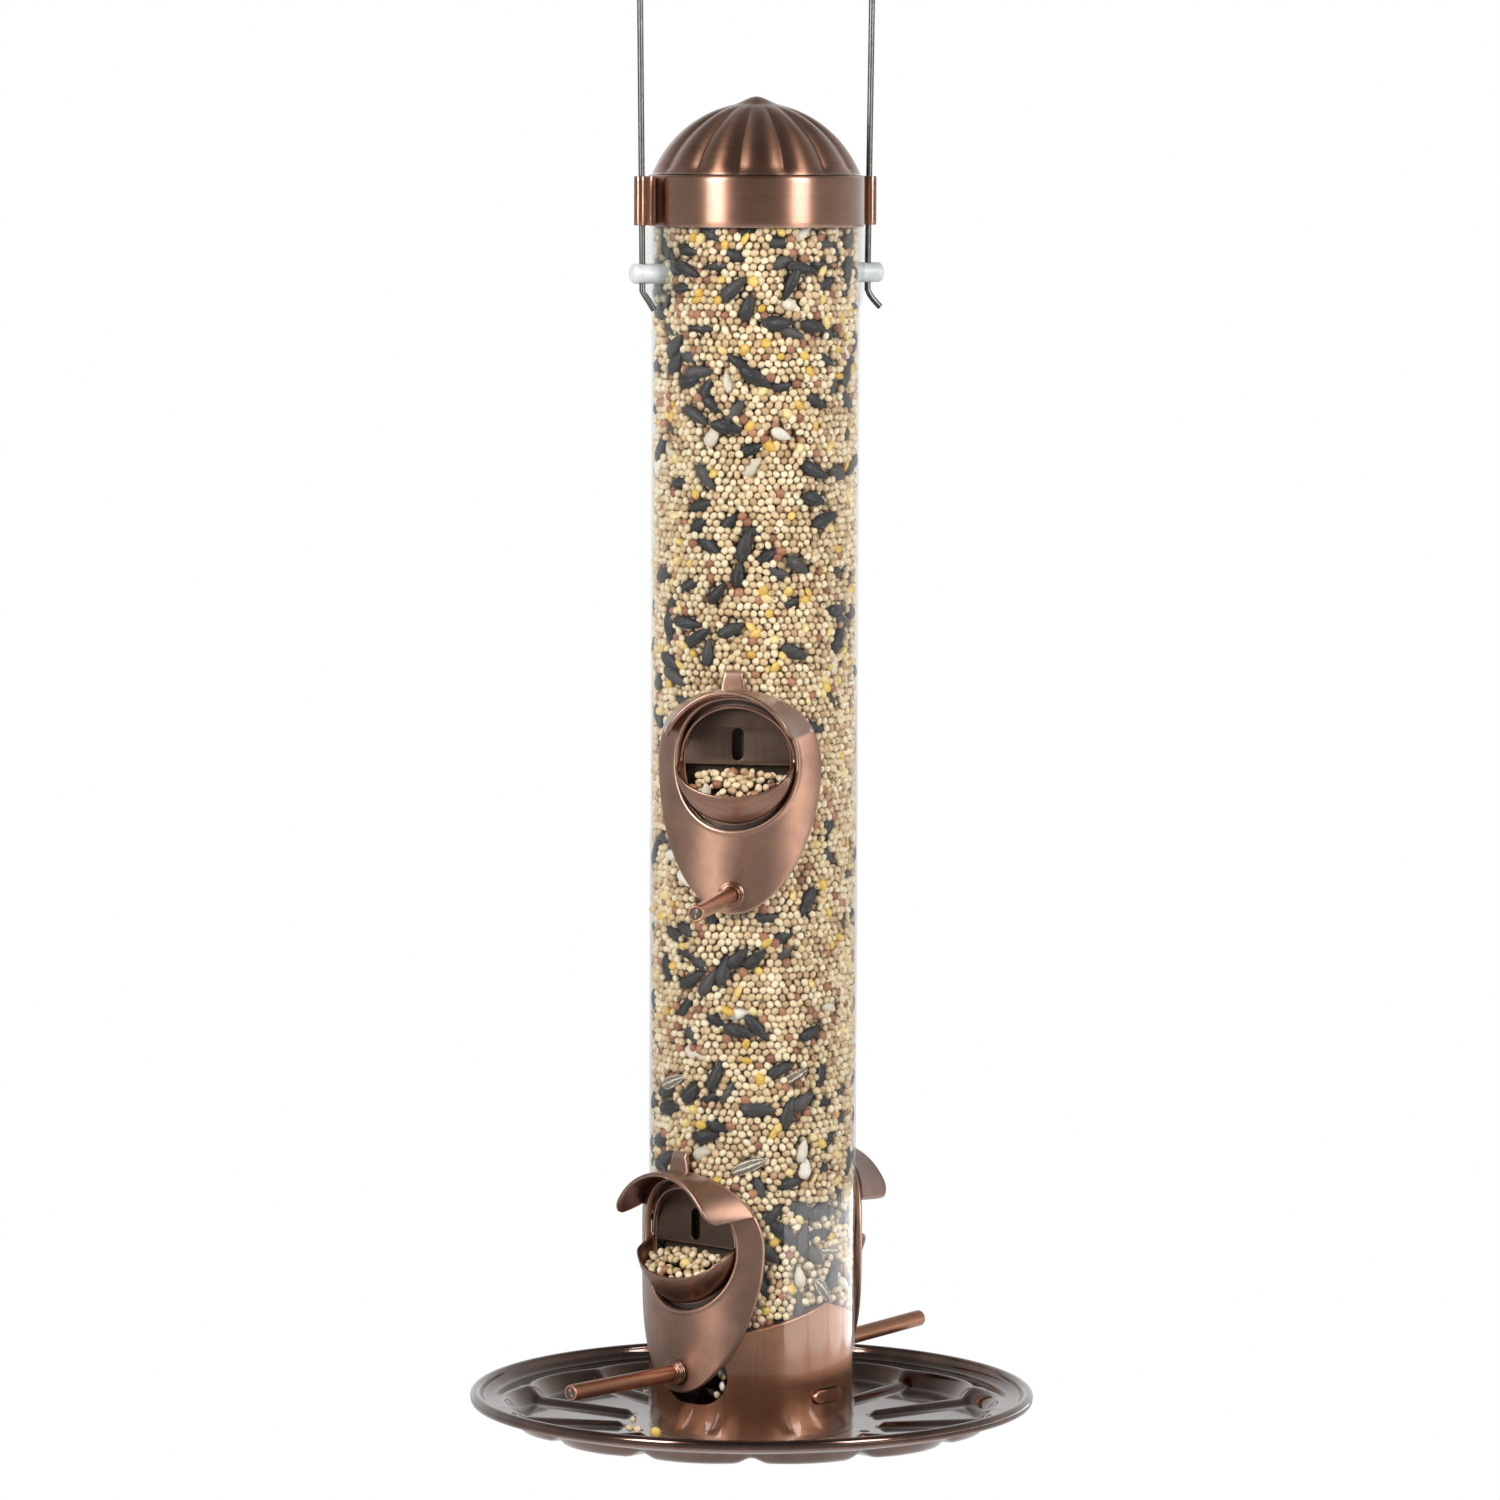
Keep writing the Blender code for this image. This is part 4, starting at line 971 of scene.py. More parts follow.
def bail_points():
    """Centre line of the wire: bent tail, left leg, round arch, right leg, bent tail."""
    spread, arch_z = 0.012, 487.0
    arch_r = WIRE_X + spread * (arch_z - ROD_Z)
    left_tail = [(-35.9, -2.2, -11.4), (-36.6, -1.75, -10.0), (-37.3, -1.3, -8.6),
                 (-38.1, -0.7, -7.2)]
    right_tail = [(39.6, -0.15, -6.9), (40.6, -0.4, -8.4), (41.8, -0.6, -9.7), (43.0, -0.8, -11.0)]
    heights = [-5.5 + (arch_z - ROD_Z + 5.5) * i / 12 for i in range(13)]
    left = [(-(WIRE_X + spread * max(z, 0)), 0, z) for z in heights]
    right = [(-x, 0, z) for x, _, z in reversed(left)]
    arch = [(x, 0, z) for x, z in arc((0, arch_z - ROD_Z), arch_r, 180, 0, 72)[1:-1]]
    return left_tail + left + arch + right + right_tail


def make_bail():
    """Drawn wire with cut ends, as one swept surface."""
    path = [Vector((x, y, z + ROD_Z)) for x, y, z in bail_points()]
    sides, radius = 24, 0.98
    rows = []
    side = Vector((0, 1, 0))
    for i, spot in enumerate(path):
        ahead = path[min(i + 1, len(path) - 1)] - path[max(i - 1, 0)]
        ahead.normalize()
        side = (side - ahead * side.dot(ahead)).normalized()
        other = ahead.cross(side)
        ring = []
        for k in range(sides):
            a = 2 * math.pi * k / sides
            ring.append(tuple(spot + radius * (math.cos(a) * side + math.sin(a) * other)))
        rows.append(ring)
        if i in (0, len(path) - 1):
            small = [tuple(spot + 0.75 * (Vector(p) - spot) + ahead * (0.12 if i else -0.12))
                     for p in ring]
            tiny = [tuple(spot + 0.03 * (Vector(p) - spot) + ahead * (0.16 if i else -0.16))
                    for p in ring]
            rows = [tiny, small] + rows if i == 0 else rows + [small, tiny]
    wire = grid("drawn_bail_wire", rows, WIRE)
    face_out(wire)
    settle(wire, feeder_frame(), sharp=40)
    return put(wire, "feeder", "wire_steel", "bail_wire")


# ---------------------------------------------------------------- cap

def make_dome():
    """Pressed dome with fourteen rounded lobes that run out below a small nub."""
    foot_r, sphere_r, depth, flutes, phase = 33.0, 35.5, 1.15, 14, -33.7
    nub_r, nub_up, foot_z = 7.6, 1.85, 398.5
    drop = math.sqrt(sphere_r ** 2 - foot_r ** 2)
    lowest = math.asin(drop / sphere_r)
    rows_count, cols = 64, flutes * 20
    angles = azimuths(cols)
    turns = flutes * (angles - math.radians(phase)) / (2 * math.pi)
    lobe = 1 - (2 * (turns % 1) - 1) ** 2
    rows = []
    for i in range(rows_count):
        tilt = lowest + (math.pi / 2 - lowest) * (i / (rows_count - 1))
        r0 = sphere_r * math.cos(tilt)
        fade = float(smooth_step((r0 - 6.5) / 15.0))
        fade *= 0.25 + 0.75 * float(smooth_step((tilt - lowest) / math.radians(5.0)))
        r = (sphere_r - depth * fade * (1 - lobe))
        height = r * math.sin(tilt) - drop + nub_up * (1 - float(smooth_step(r0 / nub_r)))
        flat = np.maximum(r * math.cos(tilt), 0.02)
        rows.append(round_row(flat, height + foot_z, angles))
    inward = rows[0].copy()
    inward[:, 2] = foot_z
    rows.insert(0, inward * np.array([0.985, 0.985, 1.0]) - np.array([0, 0, 0.02]))
    dome = grid("fluted_cap_dome", np.array(rows), DOME)
    face_up(dome, cols * 10)
    solidify(dome, 0.8, -1.0)
    settle(dome, feeder_frame(), sharp=60)
    return put(dome, "cap", "antique_copper", "cap_dome")


def make_band():
    """Spun band with a round shoulder, a fine step under it and a turned-in lip."""
    outer, wall, foot, top, round_r = 34.2, 0.7, 382.0, 398.2, 1.1
    inner = outer - wall
    lip_r = 30.8
    profile = [(inner, foot + 0.2), (inner + 0.15, foot), (outer - 0.2, foot), (outer, foot + 0.25)]
    profile += [(outer, foot + 0.25 + (top - round_r - foot - 0.25) * i / 10) for i in range(1, 10)]
    profile += arc((outer - round_r, top - round_r), round_r, 0, 90, 8)
    profile += [(lip_r, top), (lip_r, top - 0.7), (inner - 0.3, top - 0.75), (inner, top - 1.1)]
    band = turned("spun_cap_band", profile, SPUN, 224, feeder_frame())
    return put(band, "cap", "antique_copper", "cap_band")


def make_guide(node, azimuth):
    """Sleeve rolled from the end of a thin strip, whose foot is spot-joined to the band."""
    centre, radius, low, high = 39.74, 1.82, 382.3, 397.7
    start, stop = 198.0, 520.0
    path = [(-5.14, -2.9), (-5.09, -1.2), (-4.99, -0.25), (-4.5, 0.0), (-3.2, 0.0)]
    roll = arc((0, 0), radius, start - 8, stop - 8, 40)
    outline = path + [(-2.45, -0.25)] + roll
    rows = [[(x + centre, y, z) for x, y in outline] for z in np.linspace(low, high, 9)]
    guide = grid(node.replace("cap_", "rolled_cap_"), rows, SPUN, close_u=False)
    sheet(guide, 0.36, 0.12, 2)
    settle(guide, feeder_frame(azimuth), sharp=50)
    return put(guide, "cap", "antique_copper", node)


# ---------------------------------------------------------------- seed

def ovoid(segments, rings, outline):
    """Triangles of a seed with its long way on z: (points, triangles, uv of each corner).

    The outline gives its half width at a height from -1 to 1."""
    points = [(0, 0, -1.0)]
    heights = [-math.cos(math.pi * i / rings) for i in range(1, rings)]
    for z in heights:
        wide = outline(z)
        for k in range(segments):
            a = 2 * math.pi * k / segments
            points.append((wide * math.cos(a), wide * math.sin(a), z))
    points.append((0, 0, 1.0))
    last = len(points) - 1
    faces, uvs = [], []

    def ring_uv(i, k):
        return (k / segments, (i + 1) / rings)

    def at(i, k):
        return 1 + i * segments + k % segments

    for k in range(segments):
        faces.append((0, at(0, k + 1), at(0, k)))
        uvs += [(k / segments, 0.0), ring_uv(0, k + 1), ring_uv(0, k)]
        top = rings - 2
        faces.append((last, at(top, k), at(top, k + 1)))
        uvs += [(k / segments, 1.0), ring_uv(top, k), ring_uv(top, k + 1)]
        for i in range(rings - 2):
            faces.append((at(i, k), at(i, k + 1), at(i + 1, k + 1)))
            uvs += [ring_uv(i, k), ring_uv(i, k + 1), ring_uv(i + 1, k + 1)]
            faces.append((at(i, k), at(i + 1, k + 1), at(i + 1, k)))
            uvs += [ring_uv(i, k), ring_uv(i + 1, k + 1), ring_uv(i + 1, k)]
    return np.array(points), np.array(faces), np.array(uvs)


def round_outline(z):
    return math.sqrt(max(0.0, 1 - z * z))


def drop_outline(z):
    """Wider below the middle and drawn to a point above, as a sunflower seed is."""
    return math.sqrt(max(0.0, 1 - z * z)) ** 1.15 * (1 - 0.34 * z)


GRAIN = ovoid(8, 5, round_outline)
COARSE = ovoid(6, 4, round_outline)
DROP = ovoid(12, 10, drop_outline)
KINDS = {
    "millet": (GRAIN, MILLET), "milo": (GRAIN, MILO), "corn": (COARSE, CORN),
    "heart": (DROP, HEART), "black": (DROP, BLACK), "striped": (DROP, STRIPED),
    "deep": (COARSE, MILLET),
}
SEED_LOW = 30.0
WALL_LAYER = 1.4
ROW_PITCH = 0.866
BANDS = 8
BIG_COUNT = 460
BIG_ROOM = 5.2
LONG_SEEDS = {
    "corn": ((1.3, 2.3), (0.9, 1.5), (1.5, 2.8)),
    "heart": ((1.7, 2.3), (1.2, 1.6), (3.2, 4.4)),
    "striped": ((2.1, 2.6), (1.5, 1.8), (5.4, 6.2)),
    "black": ((1.85, 2.45), (1.4, 1.8), (4.3, 5.9)),
}


def seed_size(kind, rng):
    """Half sizes of one seed in millimetres: across, through and along."""
    if kind == "millet":
        r = rng.uniform(1.10, 1.36)
        return (r, r * rng.uniform(0.80, 0.94), r * rng.uniform(1.02, 1.26))
    if kind == "deep":
        r = rng.uniform(1.25, 1.45)
        return (r, r, r)
    if kind == "milo":
        r = rng.uniform(1.45, 1.8)
        return (r, r * 0.9, r * 1.05)
    return tuple(rng.uniform(*limits) for limits in LONG_SEEDS[kind])


def seed_mesh(name, seeds):
    """One mesh of many seeds, each a (kind, 4x4 place) pair in millimetres."""
    points, faces, uvs, slots = [], [], [], []
    offset = 0
    used = []
    for kind, place in seeds:
        (shape, triangles, corners), finish = KINDS[kind]
        place = np.asarray(place)
        points.append(shape @ place[:3, :3].T + place[:3, 3])
        faces.append(triangles + offset)
        uvs.append(corners)
        if finish not in used:
            used.append(finish)
        slots.append(np.full(len(triangles), used.index(finish)))
        offset += len(shape)
    points, faces = np.concatenate(points), np.concatenate(faces)
    mesh = bpy.data.meshes.new(name)
    mesh.vertices.add(len(points))
    mesh.vertices.foreach_set("co", points.astype(np.float32).ravel())
    mesh.loops.add(faces.size)
    mesh.loops.foreach_set("vertex_index", faces.astype(np.int32).ravel())
    mesh.polygons.add(len(faces))
    mesh.polygons.foreach_set("loop_start", np.arange(0, faces.size, 3, dtype=np.int32))
    mesh.update(calc_edges=True)
    for finish in used:
        mesh.materials.append(finish)
    mesh.polygons.foreach_set("material_index", np.concatenate(slots).astype(np.int32))
    layer = mesh.uv_layers.new(name="grain")
    layer.data.foreach_set("uv", np.concatenate(uvs).astype(np.float32).ravel())
    mesh.shade_smooth()
    obj = new_object(name, mesh)
    mesh.transform(feeder_frame())
    return obj


def relax(points, width, reach, rounds):
    """Pushes points on the unrolled wall apart until each has about its own room."""
    for _ in range(rounds):
        doubled = np.concatenate([points, points + [width, 0], points - [width, 0]])
        tree = KDTree(len(doubled))
        for i, (u, z) in enumerate(doubled):
            tree.insert((u, z, 0), i)
        tree.balance()
        moved = points.copy()
        for i, (u, z) in enumerate(points):
            for co, _, distance in tree.find_range((u, z, 0), reach):
                if 1e-6 < distance < reach:
                    push = 0.42 * (reach - distance) / distance
                    moved[i] += (np.array((u, z)) - np.array(co[:2])) * push
        points = moved
        points[:, 0] %= width
    return points


def wall_place(u, z, depth, turn, size, rng, tilt=0.35):
    """A seed's place at the wall: u along the wall, its flat side outwards, turned in the wall."""
    radius = TUBE_R - TUBE_WALL - depth
    azimuth = u / (TUBE_R - TUBE_WALL - WALL_LAYER)
    lean = Matrix.Rotation(rng.uniform(-tilt, tilt), 4, "X") @ Matrix.Rotation(
        rng.uniform(-tilt, tilt), 4, "Z")
    spin = Matrix.Rotation(turn, 4, "Y")
    out = Matrix.Rotation(azimuth, 4, "Z") @ Matrix.Translation((0, -radius, z))
    return out @ lean @ spin @ Matrix.Diagonal((size[0], size[1], size[2], 1))


def near_port(u, z, width, room):
    """True where a port's sleeve, or the nut and perch below it, comes through the wall."""
    for height, turn in port_turns():
        off = (u - math.radians(turn) * width / (2 * math.pi) + width / 2) % width - width / 2
        if math.hypot(off, z - height) < OPENING_R + room:
            return True
        if math.hypot(off, z - height + PERCH_DROP) < NUT_R + room:
            return True
    return False


def floor_at(u, width):
    azimuth = u / width * 2 * math.pi
    return roof_height(PLUG_R * math.sin(azimuth), -PLUG_R * math.cos(azimuth), PORTS["lower"][1])


def dark_share(z):
    """How many sunflower seeds lie at a height: most near the top and just above the plug."""
    top = math.exp(-((z - 372) / 42) ** 2)
    foot = math.exp(-((z - 62) / 40) ** 2)
    return 0.35 + 0.9 * top + 0.6 * foot


def big_seeds(rng, width):
    """Sunflower seeds and hearts at the wall: (kind, u, z, turn, whether it lies deep)."""
    big = []
    while len(big) < BIG_COUNT:
        u, z = rng.uniform(0, width), rng.uniform(SEED_LOW, SEED_TOP - 1)
        if rng.random() * 1.4 > dark_share(z):
            continue
        kind = rng.choices(("black", "heart", "striped"), (0.80, 0.17, 0.03))[0]
        if near_port(u, z, width, 4.4) or z < floor_at(u, width) + 3.0:
            continue
        if all(math.hypot((u - b[1] + width / 2) % width - width / 2, z - b[2]) > BIG_ROOM
               for b in big):
            big.append((kind, u, z, rng.gauss(math.pi / 2, 0.9), rng.random() < 0.5))
    return big


def staggered(width, spacing, fill=1.0):
    """(place in its row, places in the row, height) of spots in close rows up the wall."""
    for row in range(int((SEED_TOP - SEED_LOW) / (spacing * ROW_PITCH))):
        z = SEED_LOW + row * spacing * ROW_PITCH
        count = int(width * fill / spacing)
        for k in range(count):
            yield k + 0.5 * (row % 2), count, z


def make_wall_seeds(rng):
    """The seed that lies against the tube's wall, and a looser layer behind it."""
    width = 2 * math.pi * (TUBE_R - TUBE_WALL - WALL_LAYER)
    big = big_seeds(rng, width)
    points = [(at * width / count + rng.uniform(-0.9, 0.9), z + rng.uniform(-0.9, 0.9))
              for at, count, z in staggered(width, 2.5)]
    points = relax(np.array(points), width, 2.44, 7)
    bands = [[] for _ in range(BANDS)]

    def keep(kind, place, z):
        share = (z - SEED_LOW) / (SEED_TOP - SEED_LOW)
        bands[min(BANDS - 1, max(0, int(share * BANDS)))].append((kind, place))

    for kind, u, z, turn, deep in big:
        size = seed_size(kind, rng)
        depth = size[1] * 0.95 + (rng.uniform(1.0, 1.9) if deep else 0.1)
        keep(kind, wall_place(u, z, depth, turn, size, rng, 0.16), z)
    for u, z in points:
        if near_port(u, z, width, 2.9) or z > SEED_TOP or z < floor_at(u, width) + 1.2:
            continue
        if under_big(u, z, big, width):
            continue
        kind = rng.choices(("millet", "milo", "corn"), (0.885, 0.07, 0.045))[0]
        if kind == "milo" and rng.random() > 0.35 + dark_share(z) * 0.6:
            kind = "millet"
        size = seed_size(kind, rng)
        depth = size[1] + abs(rng.gauss(0, 0.42))
        keep(kind, wall_place(u, z, depth, rng.uniform(0, math.pi), size, rng, 0.9), z)
    for at, count, z in staggered(width, 2.75, 0.93):
        u = (at + rng.uniform(-0.2, 0.2)) * width / count
        if near_port(u, z, width, 2.0) or z < floor_at(u, width) + 1.0:
            continue
        kind = "deep" if rng.random() > 0.12 else "milo"
        depth = 3.35 + rng.uniform(-0.25, 0.5)
        keep(kind, wall_place(u, z, depth, 0, seed_size(kind, rng), rng, 1.0), z)
    for i, band in enumerate(bands):
        made = seed_mesh(f"wall_seed_{i + 1}", band)
        put(made, "feeder", "mixed_seed", "seed_fill")


def under_big(u, z, big, width):
    """True where a sunflower seed or heart already lies at the wall."""
    for _, bu, bz, turn, deep in big:
        du, dz = (u - bu + width / 2) % width - width / 2, z - bz
        if abs(du) > 6.5 or abs(dz) > 6.5:
            continue
        along = du * math.sin(turn) + dz * math.cos(turn)
        across = du * math.cos(turn) - dz * math.sin(turn)
        scale = 0.72 if deep else 1.0
        if (along / (5.5 * scale)) ** 2 + (across / (3.0 * scale)) ** 2 < 1:
            return True
    return False


def make_seed_core():
    """Bulk of the seed behind the two outer layers, with a lumpy skin and a heaped top, coloured near
    black as painted shade for the deep gaps between the seeds.
    """
    cols, radius, room_r, rows_count = 96, 28.2, 19.8, 60
    angles = azimuths(cols)
    rows = []
    floor = np.array([max(floor_at(a / (2 * math.pi), 1.0), 30.0) + 2.0 for a in angles])
    for i in range(rows_count):
        t = i / (rows_count - 1)
        lumps = 0.35 * np.sin(angles * 31 + i * 2.1) * np.sin(i * 1.7 + angles * 9)
        r = radius + lumps
        z = floor + (SEED_TOP - 3.0 - floor) * t
        rows.append(round_row(r, z, angles))
    for i in range(1, 16):
        z = SEED_TOP - 3.0 + 2.0 * math.sin(math.pi / 2 * i / 16)
        rows.append(round_row(radius * (1 - i / 16) + 0.05, z, angles))
    core = grid("seed_bulk", np.array(rows), SHADE_SEED)
    face_out(core)
    back = feeder_frame().inverted()
    rooms = [cutter(ring(room_r, count=60), back @ port_frame(turn, height), 22.5)
             for height, turn in port_turns()]
    bm = bmesh.new()
    bm.from_mesh(core.data)
    edges = [e for e in bm.edges if e.is_boundary]
    bmesh.ops.holes_fill(bm, edges=edges, sides=0)
    bmesh.ops.recalc_face_normals(bm, faces=bm.faces)
    bm.to_mesh(core.data)
    bm.free()
    punch(core, rooms, feeder_frame(), 60)
    return put(core, "feeder", "mixed_seed", "seed_fill")


def any_turn(rng):
    return (Matrix.Rotation(rng.uniform(0, 6.28), 4, "X") @ Matrix.Rotation(
        rng.uniform(0, 6.28), 4, "Y") @ Matrix.Rotation(rng.uniform(0, 6.28), 4, "Z"))


def heap(rng, tries, sample, kinds, weights, gap=0.86):
    """Seeds dropped at sampled spots, each kept only where it has room."""
    kept, spots = [], []
    for _ in range(tries):
        kind = rng.choices(kinds, weights)[0]
        size = seed_size(kind, rng)
        room = (size[0] + size[2]) / 2
        spot = sample(rng)
        if all((spot - other).length > gap * (room + other_room) for other, other_room in spots):
            spots.append((spot, room))
            kept.append((kind, spot, size))
    return kept


def make_top_seeds(rng):
    """Loose layer over the top of the fill, seen when the cap is lifted."""
    def sample(source):
        r, a = 30.0 * math.sqrt(source.random()), source.uniform(0, 2 * math.pi)
        rise = 2.2 * (1 - (r / 30.0) ** 2)
        return Vector((r * math.sin(a), -r * math.cos(a), SEED_TOP - 2.4 + rise))

    kinds, weights = ("millet", "milo", "corn", "black", "heart"), (0.72, 0.08, 0.05, 0.12, 0.03)
    seeds = [(kind, Matrix.Translation(spot) @ Matrix.Rotation(rng.uniform(0, 6.28), 4, "Z")
              @ Matrix.Rotation(math.radians(90) + rng.uniform(-0.3, 0.3), 4, "X")
              @ Matrix.Diagonal((*size, 1)))
             for kind, spot, size in heap(rng, 2600, sample, kinds, weights)]
    put(seed_mesh("top_seed", seeds), "feeder", "mixed_seed", "seed_fill")


def room_in_cup(spot):
    """How far a spot in a port's frame lies inside the cup's sheet."""
    share = min(1.0, max(0.0, (spot.z - CUP_SHOULDER) / CUP_BULGE))
    return CUP_MID_R * math.sqrt(1 - share ** 2) - math.hypot(spot.x, spot.y)


def turn_in_cup(rng, spot, size):
    """A turn that keeps both ends of a seed inside the cup, or None."""
    for _ in range(8):
        turn = any_turn(rng)
        end = turn @ Vector((0, 0, size[2] - size[1]))
        if min(room_in_cup(spot + end), room_in_cup(spot - end)) > size[1] + 0.5:
            return turn
    return None


def make_cup_seeds(rng):
    """The seed that has run out under each baffle into its cup."""
    back = feeder_frame().inverted()

    def sample(source):
        out = source.uniform(26.5, 38.6)
        half = 16.4 if out < 33 else 16.4 - (out - 33) * 1.35
        x = source.uniform(-half, half)
        top = -2.6 - max(0.0, out - 30.0) * 0.72 - 0.010 * x * x
        low = -math.sqrt(max(0.0, 17.0 ** 2 - x * x)) + 1.5 + max(0.0, out - 34) * 1.2
        return Vector((x, max(low, top - source.choice((0.0, 0.0, 2.2))), out))

    kinds, weights = ("millet", "milo", "black", "heart", "corn"), (0.70, 0.05, 0.12, 0.08, 0.05)
    for label, place in port_places():
        local = back @ place
        seeds = []
        for kind, spot, size in heap(rng, 1000, sample, kinds, weights, 0.82):
            turn = turn_in_cup(rng, spot, size)
            if turn is not None:
                seeds.append((kind, local @ Matrix.Translation(spot) @ turn @ Matrix.Diagonal((*size, 1))))
        put(seed_mesh(label + "_cup_seed", seeds), "feeder", "mixed_seed", "seed_fill")


def make_stray_seeds(rng):
    """A few grains in the tray by the tube's foot, and seeds behind the lower window."""
    turn = Matrix.Rotation(math.radians(TRAY_TURN), 4, "Z")
    spots = [("millet", (-37.6, -13.0, 2.4)), ("millet", (-38.8, -16.4, 0.3)),
             ("millet", (-36.3, -17.2, 0.0)), ("corn", (-30.5, -22.6, 0.1))]
    seeds = []
    for kind, spot in spots:
        seeds.append((kind, turn @ Matrix.Translation(spot) @ any_turn(rng)
                      @ Matrix.Diagonal((*seed_size(kind, rng), 1))))
    window = feeder_frame().inverted() @ port_frame(PORTS["lower"][1] + NUT_WINDOW_TURN, NUT_WINDOW_Z)
    inside = [("heart", (9.3, -2.6, 28.4)), ("heart", (8.6, 2.2, 28.6)), ("black", (3.5, -5.0, 27.4)),
              ("black", (-3.5, -6.0, 27.2)), ("millet", (7.5, -5.8, 28.8)),
              ("millet", (9.9, 0.6, 28.9)), ("black", (-7.5, -3.0, 26.8))]
    for kind, spot in inside:
        size = tuple(0.72 * s for s in seed_size(kind, rng)) if kind != "millet" else seed_size(kind, rng)
        seeds.append((kind, window @ Matrix.Translation(spot) @ any_turn(rng)
                      @ Matrix.Diagonal((*size, 1))))
    put(seed_mesh("stray_seed", seeds), "feeder", "mixed_seed", "seed_fill")


# ---------------------------------------------------------------- studio

VIEW_AZIMUTH = -24.0
VIEW_PITCH = 5.25
VIEW_DISTANCE = 2.226
VIEW_HEIGHT = 215.8
VIEW_ROLL = 0.217
VIEW_SHIFT = -1.27
FOCAL_PX = 7000.0
PHOTO_PX = 1500


def make_camera():
    """Camera at the photograph's angle, on a long lens, with the tube just right of the middle."""
    camera = bpy.data.cameras.new("camera")
    camera.sensor_width = 36.0
    camera.lens = camera.sensor_width * FOCAL_PX / PHOTO_PX
    camera.clip_end = 50
    obj = bpy.data.objects.new("camera", camera)
    bpy.context.scene.collection.objects.link(obj)
    turn = Matrix.Rotation(math.radians(VIEW_AZIMUTH), 4, "Z")
    tilt = Matrix.Rotation(math.radians(90 - VIEW_PITCH), 4, "X")
    roll = Matrix.Rotation(math.radians(VIEW_ROLL), 4, "Z")
    target = Matrix.Translation((0, 0, BASE + VIEW_HEIGHT * MM))
    back = Matrix.Translation((VIEW_SHIFT * MM, 0, VIEW_DISTANCE))
    obj.matrix_world = target @ turn @ tilt @ back @ roll
    bpy.context.scene.camera = obj


def soft_box(name, azimuth, distance, width, low, high, radiance):
    """An upright soft box that faces the feeder's axis, at an azimuth from the camera's own
    side and between two heights in metres over the petals' underside. Its radiance is in units
    of the white background's."""
    data = bpy.data.lights.new(name, "AREA")
    data.shape = "RECTANGLE"
    data.size = width
    data.size_y = high - low
    data.energy = radiance * math.pi * width * (high - low)
    obj = bpy.data.objects.new(name, data)
    bpy.context.scene.collection.objects.link(obj)
    obj.visible_camera = False
    turn = Matrix.Rotation(math.radians(VIEW_AZIMUTH + azimuth), 4, "Z")
    stand = Matrix.Rotation(math.radians(90), 4, "X")
    middle = Matrix.Translation((0, 0, BASE + (low + high) / 2))
    obj.matrix_world = middle @ turn @ stand @ Matrix.Translation((0, 0, distance))


def make_lights():
    """Two tall boxes above the tube's mirror line, and a low pale wall round the right side."""
    for name, azimuth, radiance in (("box_left", -43, 17.0), ("box_right", 48, 14.5)):
        soft_box(name, azimuth, 1.3, 0.42, 0.38, 1.25, radiance)
    for i in range(4):
        soft_box(f"low_wall_{i + 1}", 50 + 29 * i, 1.0, 0.5, -0.150, -0.080, 3.2)


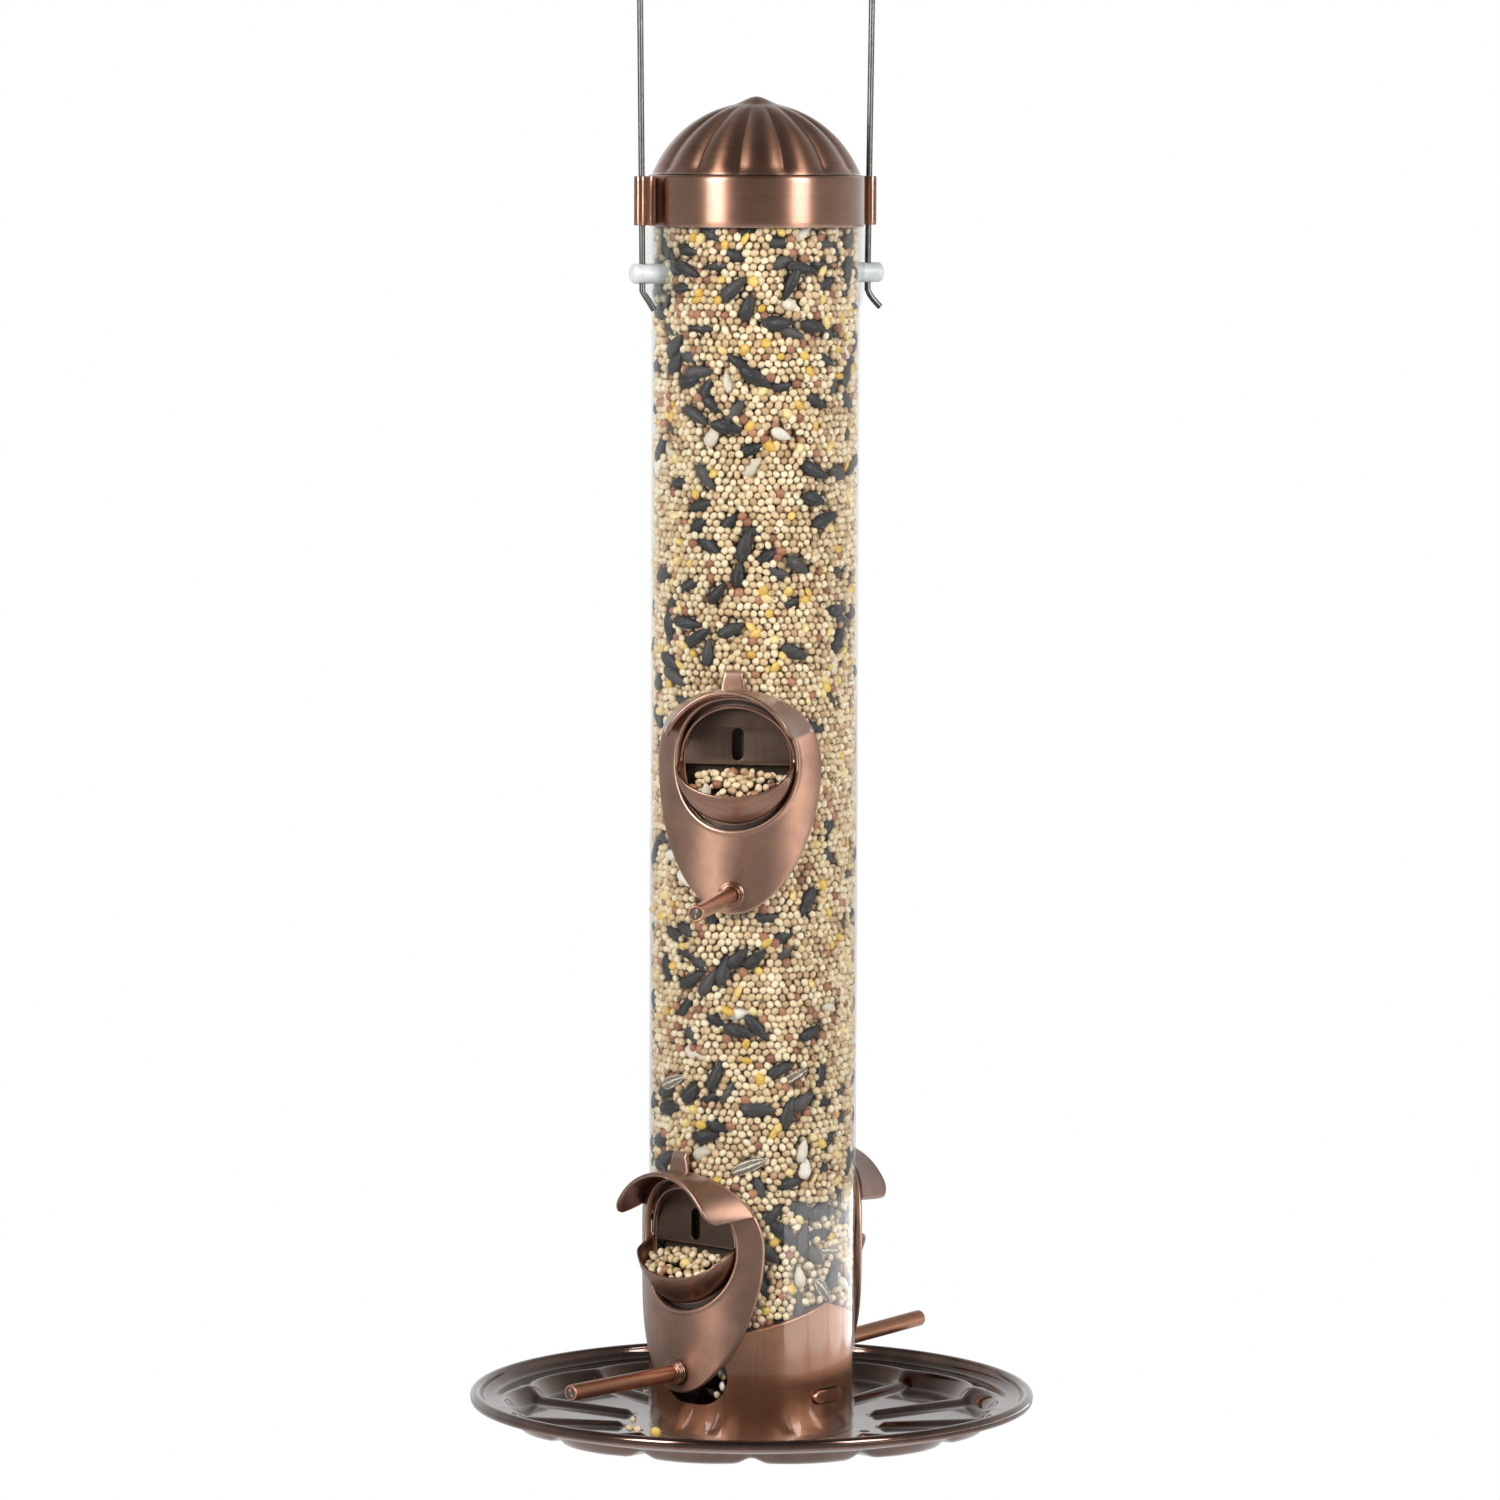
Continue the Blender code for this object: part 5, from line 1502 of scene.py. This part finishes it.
def make_world():
    """White room that is dimmer on the camera's side and overhead, as the metal mirrors it."""
    world = bpy.data.worlds.new("studio")
    bpy.context.scene.world = world
    made = Nodes(world, "Background")
    coords = made.add("ShaderNodeTexCoord")

    def dot_ramp(axis, stops):
        dot = made.add("ShaderNodeVectorMath", operation="DOT_PRODUCT")
        dot.inputs[1].default_value = axis
        spread = made.add("ShaderNodeMapRange")
        spread.inputs["From Min"].default_value = -1.0
        made.link(coords.outputs["Generated"], dot.inputs[0])
        made.link(dot.outputs["Value"], spread.inputs["Value"])
        return made.ramp(spread.outputs["Result"], *(((at + 1) / 2, tone) for at, tone in stops))

    a = math.radians(VIEW_AZIMUTH)
    level = dot_ramp((math.sin(a), -math.cos(a), 0),
                     ((-1.0, 0.78), (-0.5, 0.71), (0.0, 0.57), (0.5, 0.37), (0.8, 0.28), (1.0, 0.26)))
    height = dot_ramp((0, 0, 1), ((-1.0, 0.75), (0.0, 1.0), (0.35, 0.9), (0.75, 0.35), (1.0, 0.3)))
    path = made.add("ShaderNodeLightPath")
    both = made.mix(1.0, level, height, blend="MULTIPLY")
    made.link(made.mix(path.outputs["Is Camera Ray"], both, (1.0, 1.0, 1.0)),
              made.shader.inputs["Color"])


def make_floor():
    """Pale floor well below the feeder."""
    made = surface("pale_floor")
    made.base(Roughness=0.8, Emission_Strength=0.2)
    cloud = made.noise(made.solid(900.0))
    made.link(made.ramp(cloud, (0.3, 0.82), (0.7, 0.86)), made.shader.inputs["Base Color"])
    glow = made.add("ShaderNodeEmission")
    seen = made.add("ShaderNodeMixShader")
    path = made.add("ShaderNodeLightPath")
    made.link(path.outputs["Is Camera Ray"], seen.inputs["Fac"])
    made.link(made.shader.outputs["BSDF"], seen.inputs[1])
    made.link(glow.outputs["Emission"], seen.inputs[2])
    made.link(seen.outputs["Shader"], made.tree.nodes["Material Output"].inputs["Surface"])
    span, depth = np.linspace(-6.0, 6.0, 13), BASE - 0.45
    rows = [[(x, y, depth) for x in span] for y in span]
    floor = grid("floor", rows, made.owner, close_u=False)


# ---------------------------------------------------------------- build

def finish_cad_nodes():
    """Better materials for the small fasteners whose CAD shape is right."""
    nuts = [label + "_perch_nut" for label, _ in port_places()]
    for node in nuts + ["tray_screw", "tray_washer"]:
        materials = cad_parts[node].data.materials
        if not materials:
            materials.append(ZINC)
        for i in range(len(materials)):
            materials[i] = ZINC


for label, place in port_places():
    make_shield(label, place)
    make_cup(label, place)
    make_perch(label, place)
make_tube()
make_plug()
for body, azimuth in CATCHES.items():
    make_catch(body, azimuth)
make_tray()
make_patches()
make_rod()
make_bail()
make_dome()
make_band()
make_guide("cap_guide_right", 0.0)
make_guide("cap_guide_left", 180.0)
finish_cad_nodes()

RNG = random.Random(20)
make_wall_seeds(RNG)
make_seed_core()
make_top_seeds(RNG)
make_cup_seeds(RNG)
make_stray_seeds(RNG)

make_camera()
make_world()
make_floor()
make_lights()
bpy.context.scene.view_settings.view_transform = "Standard"
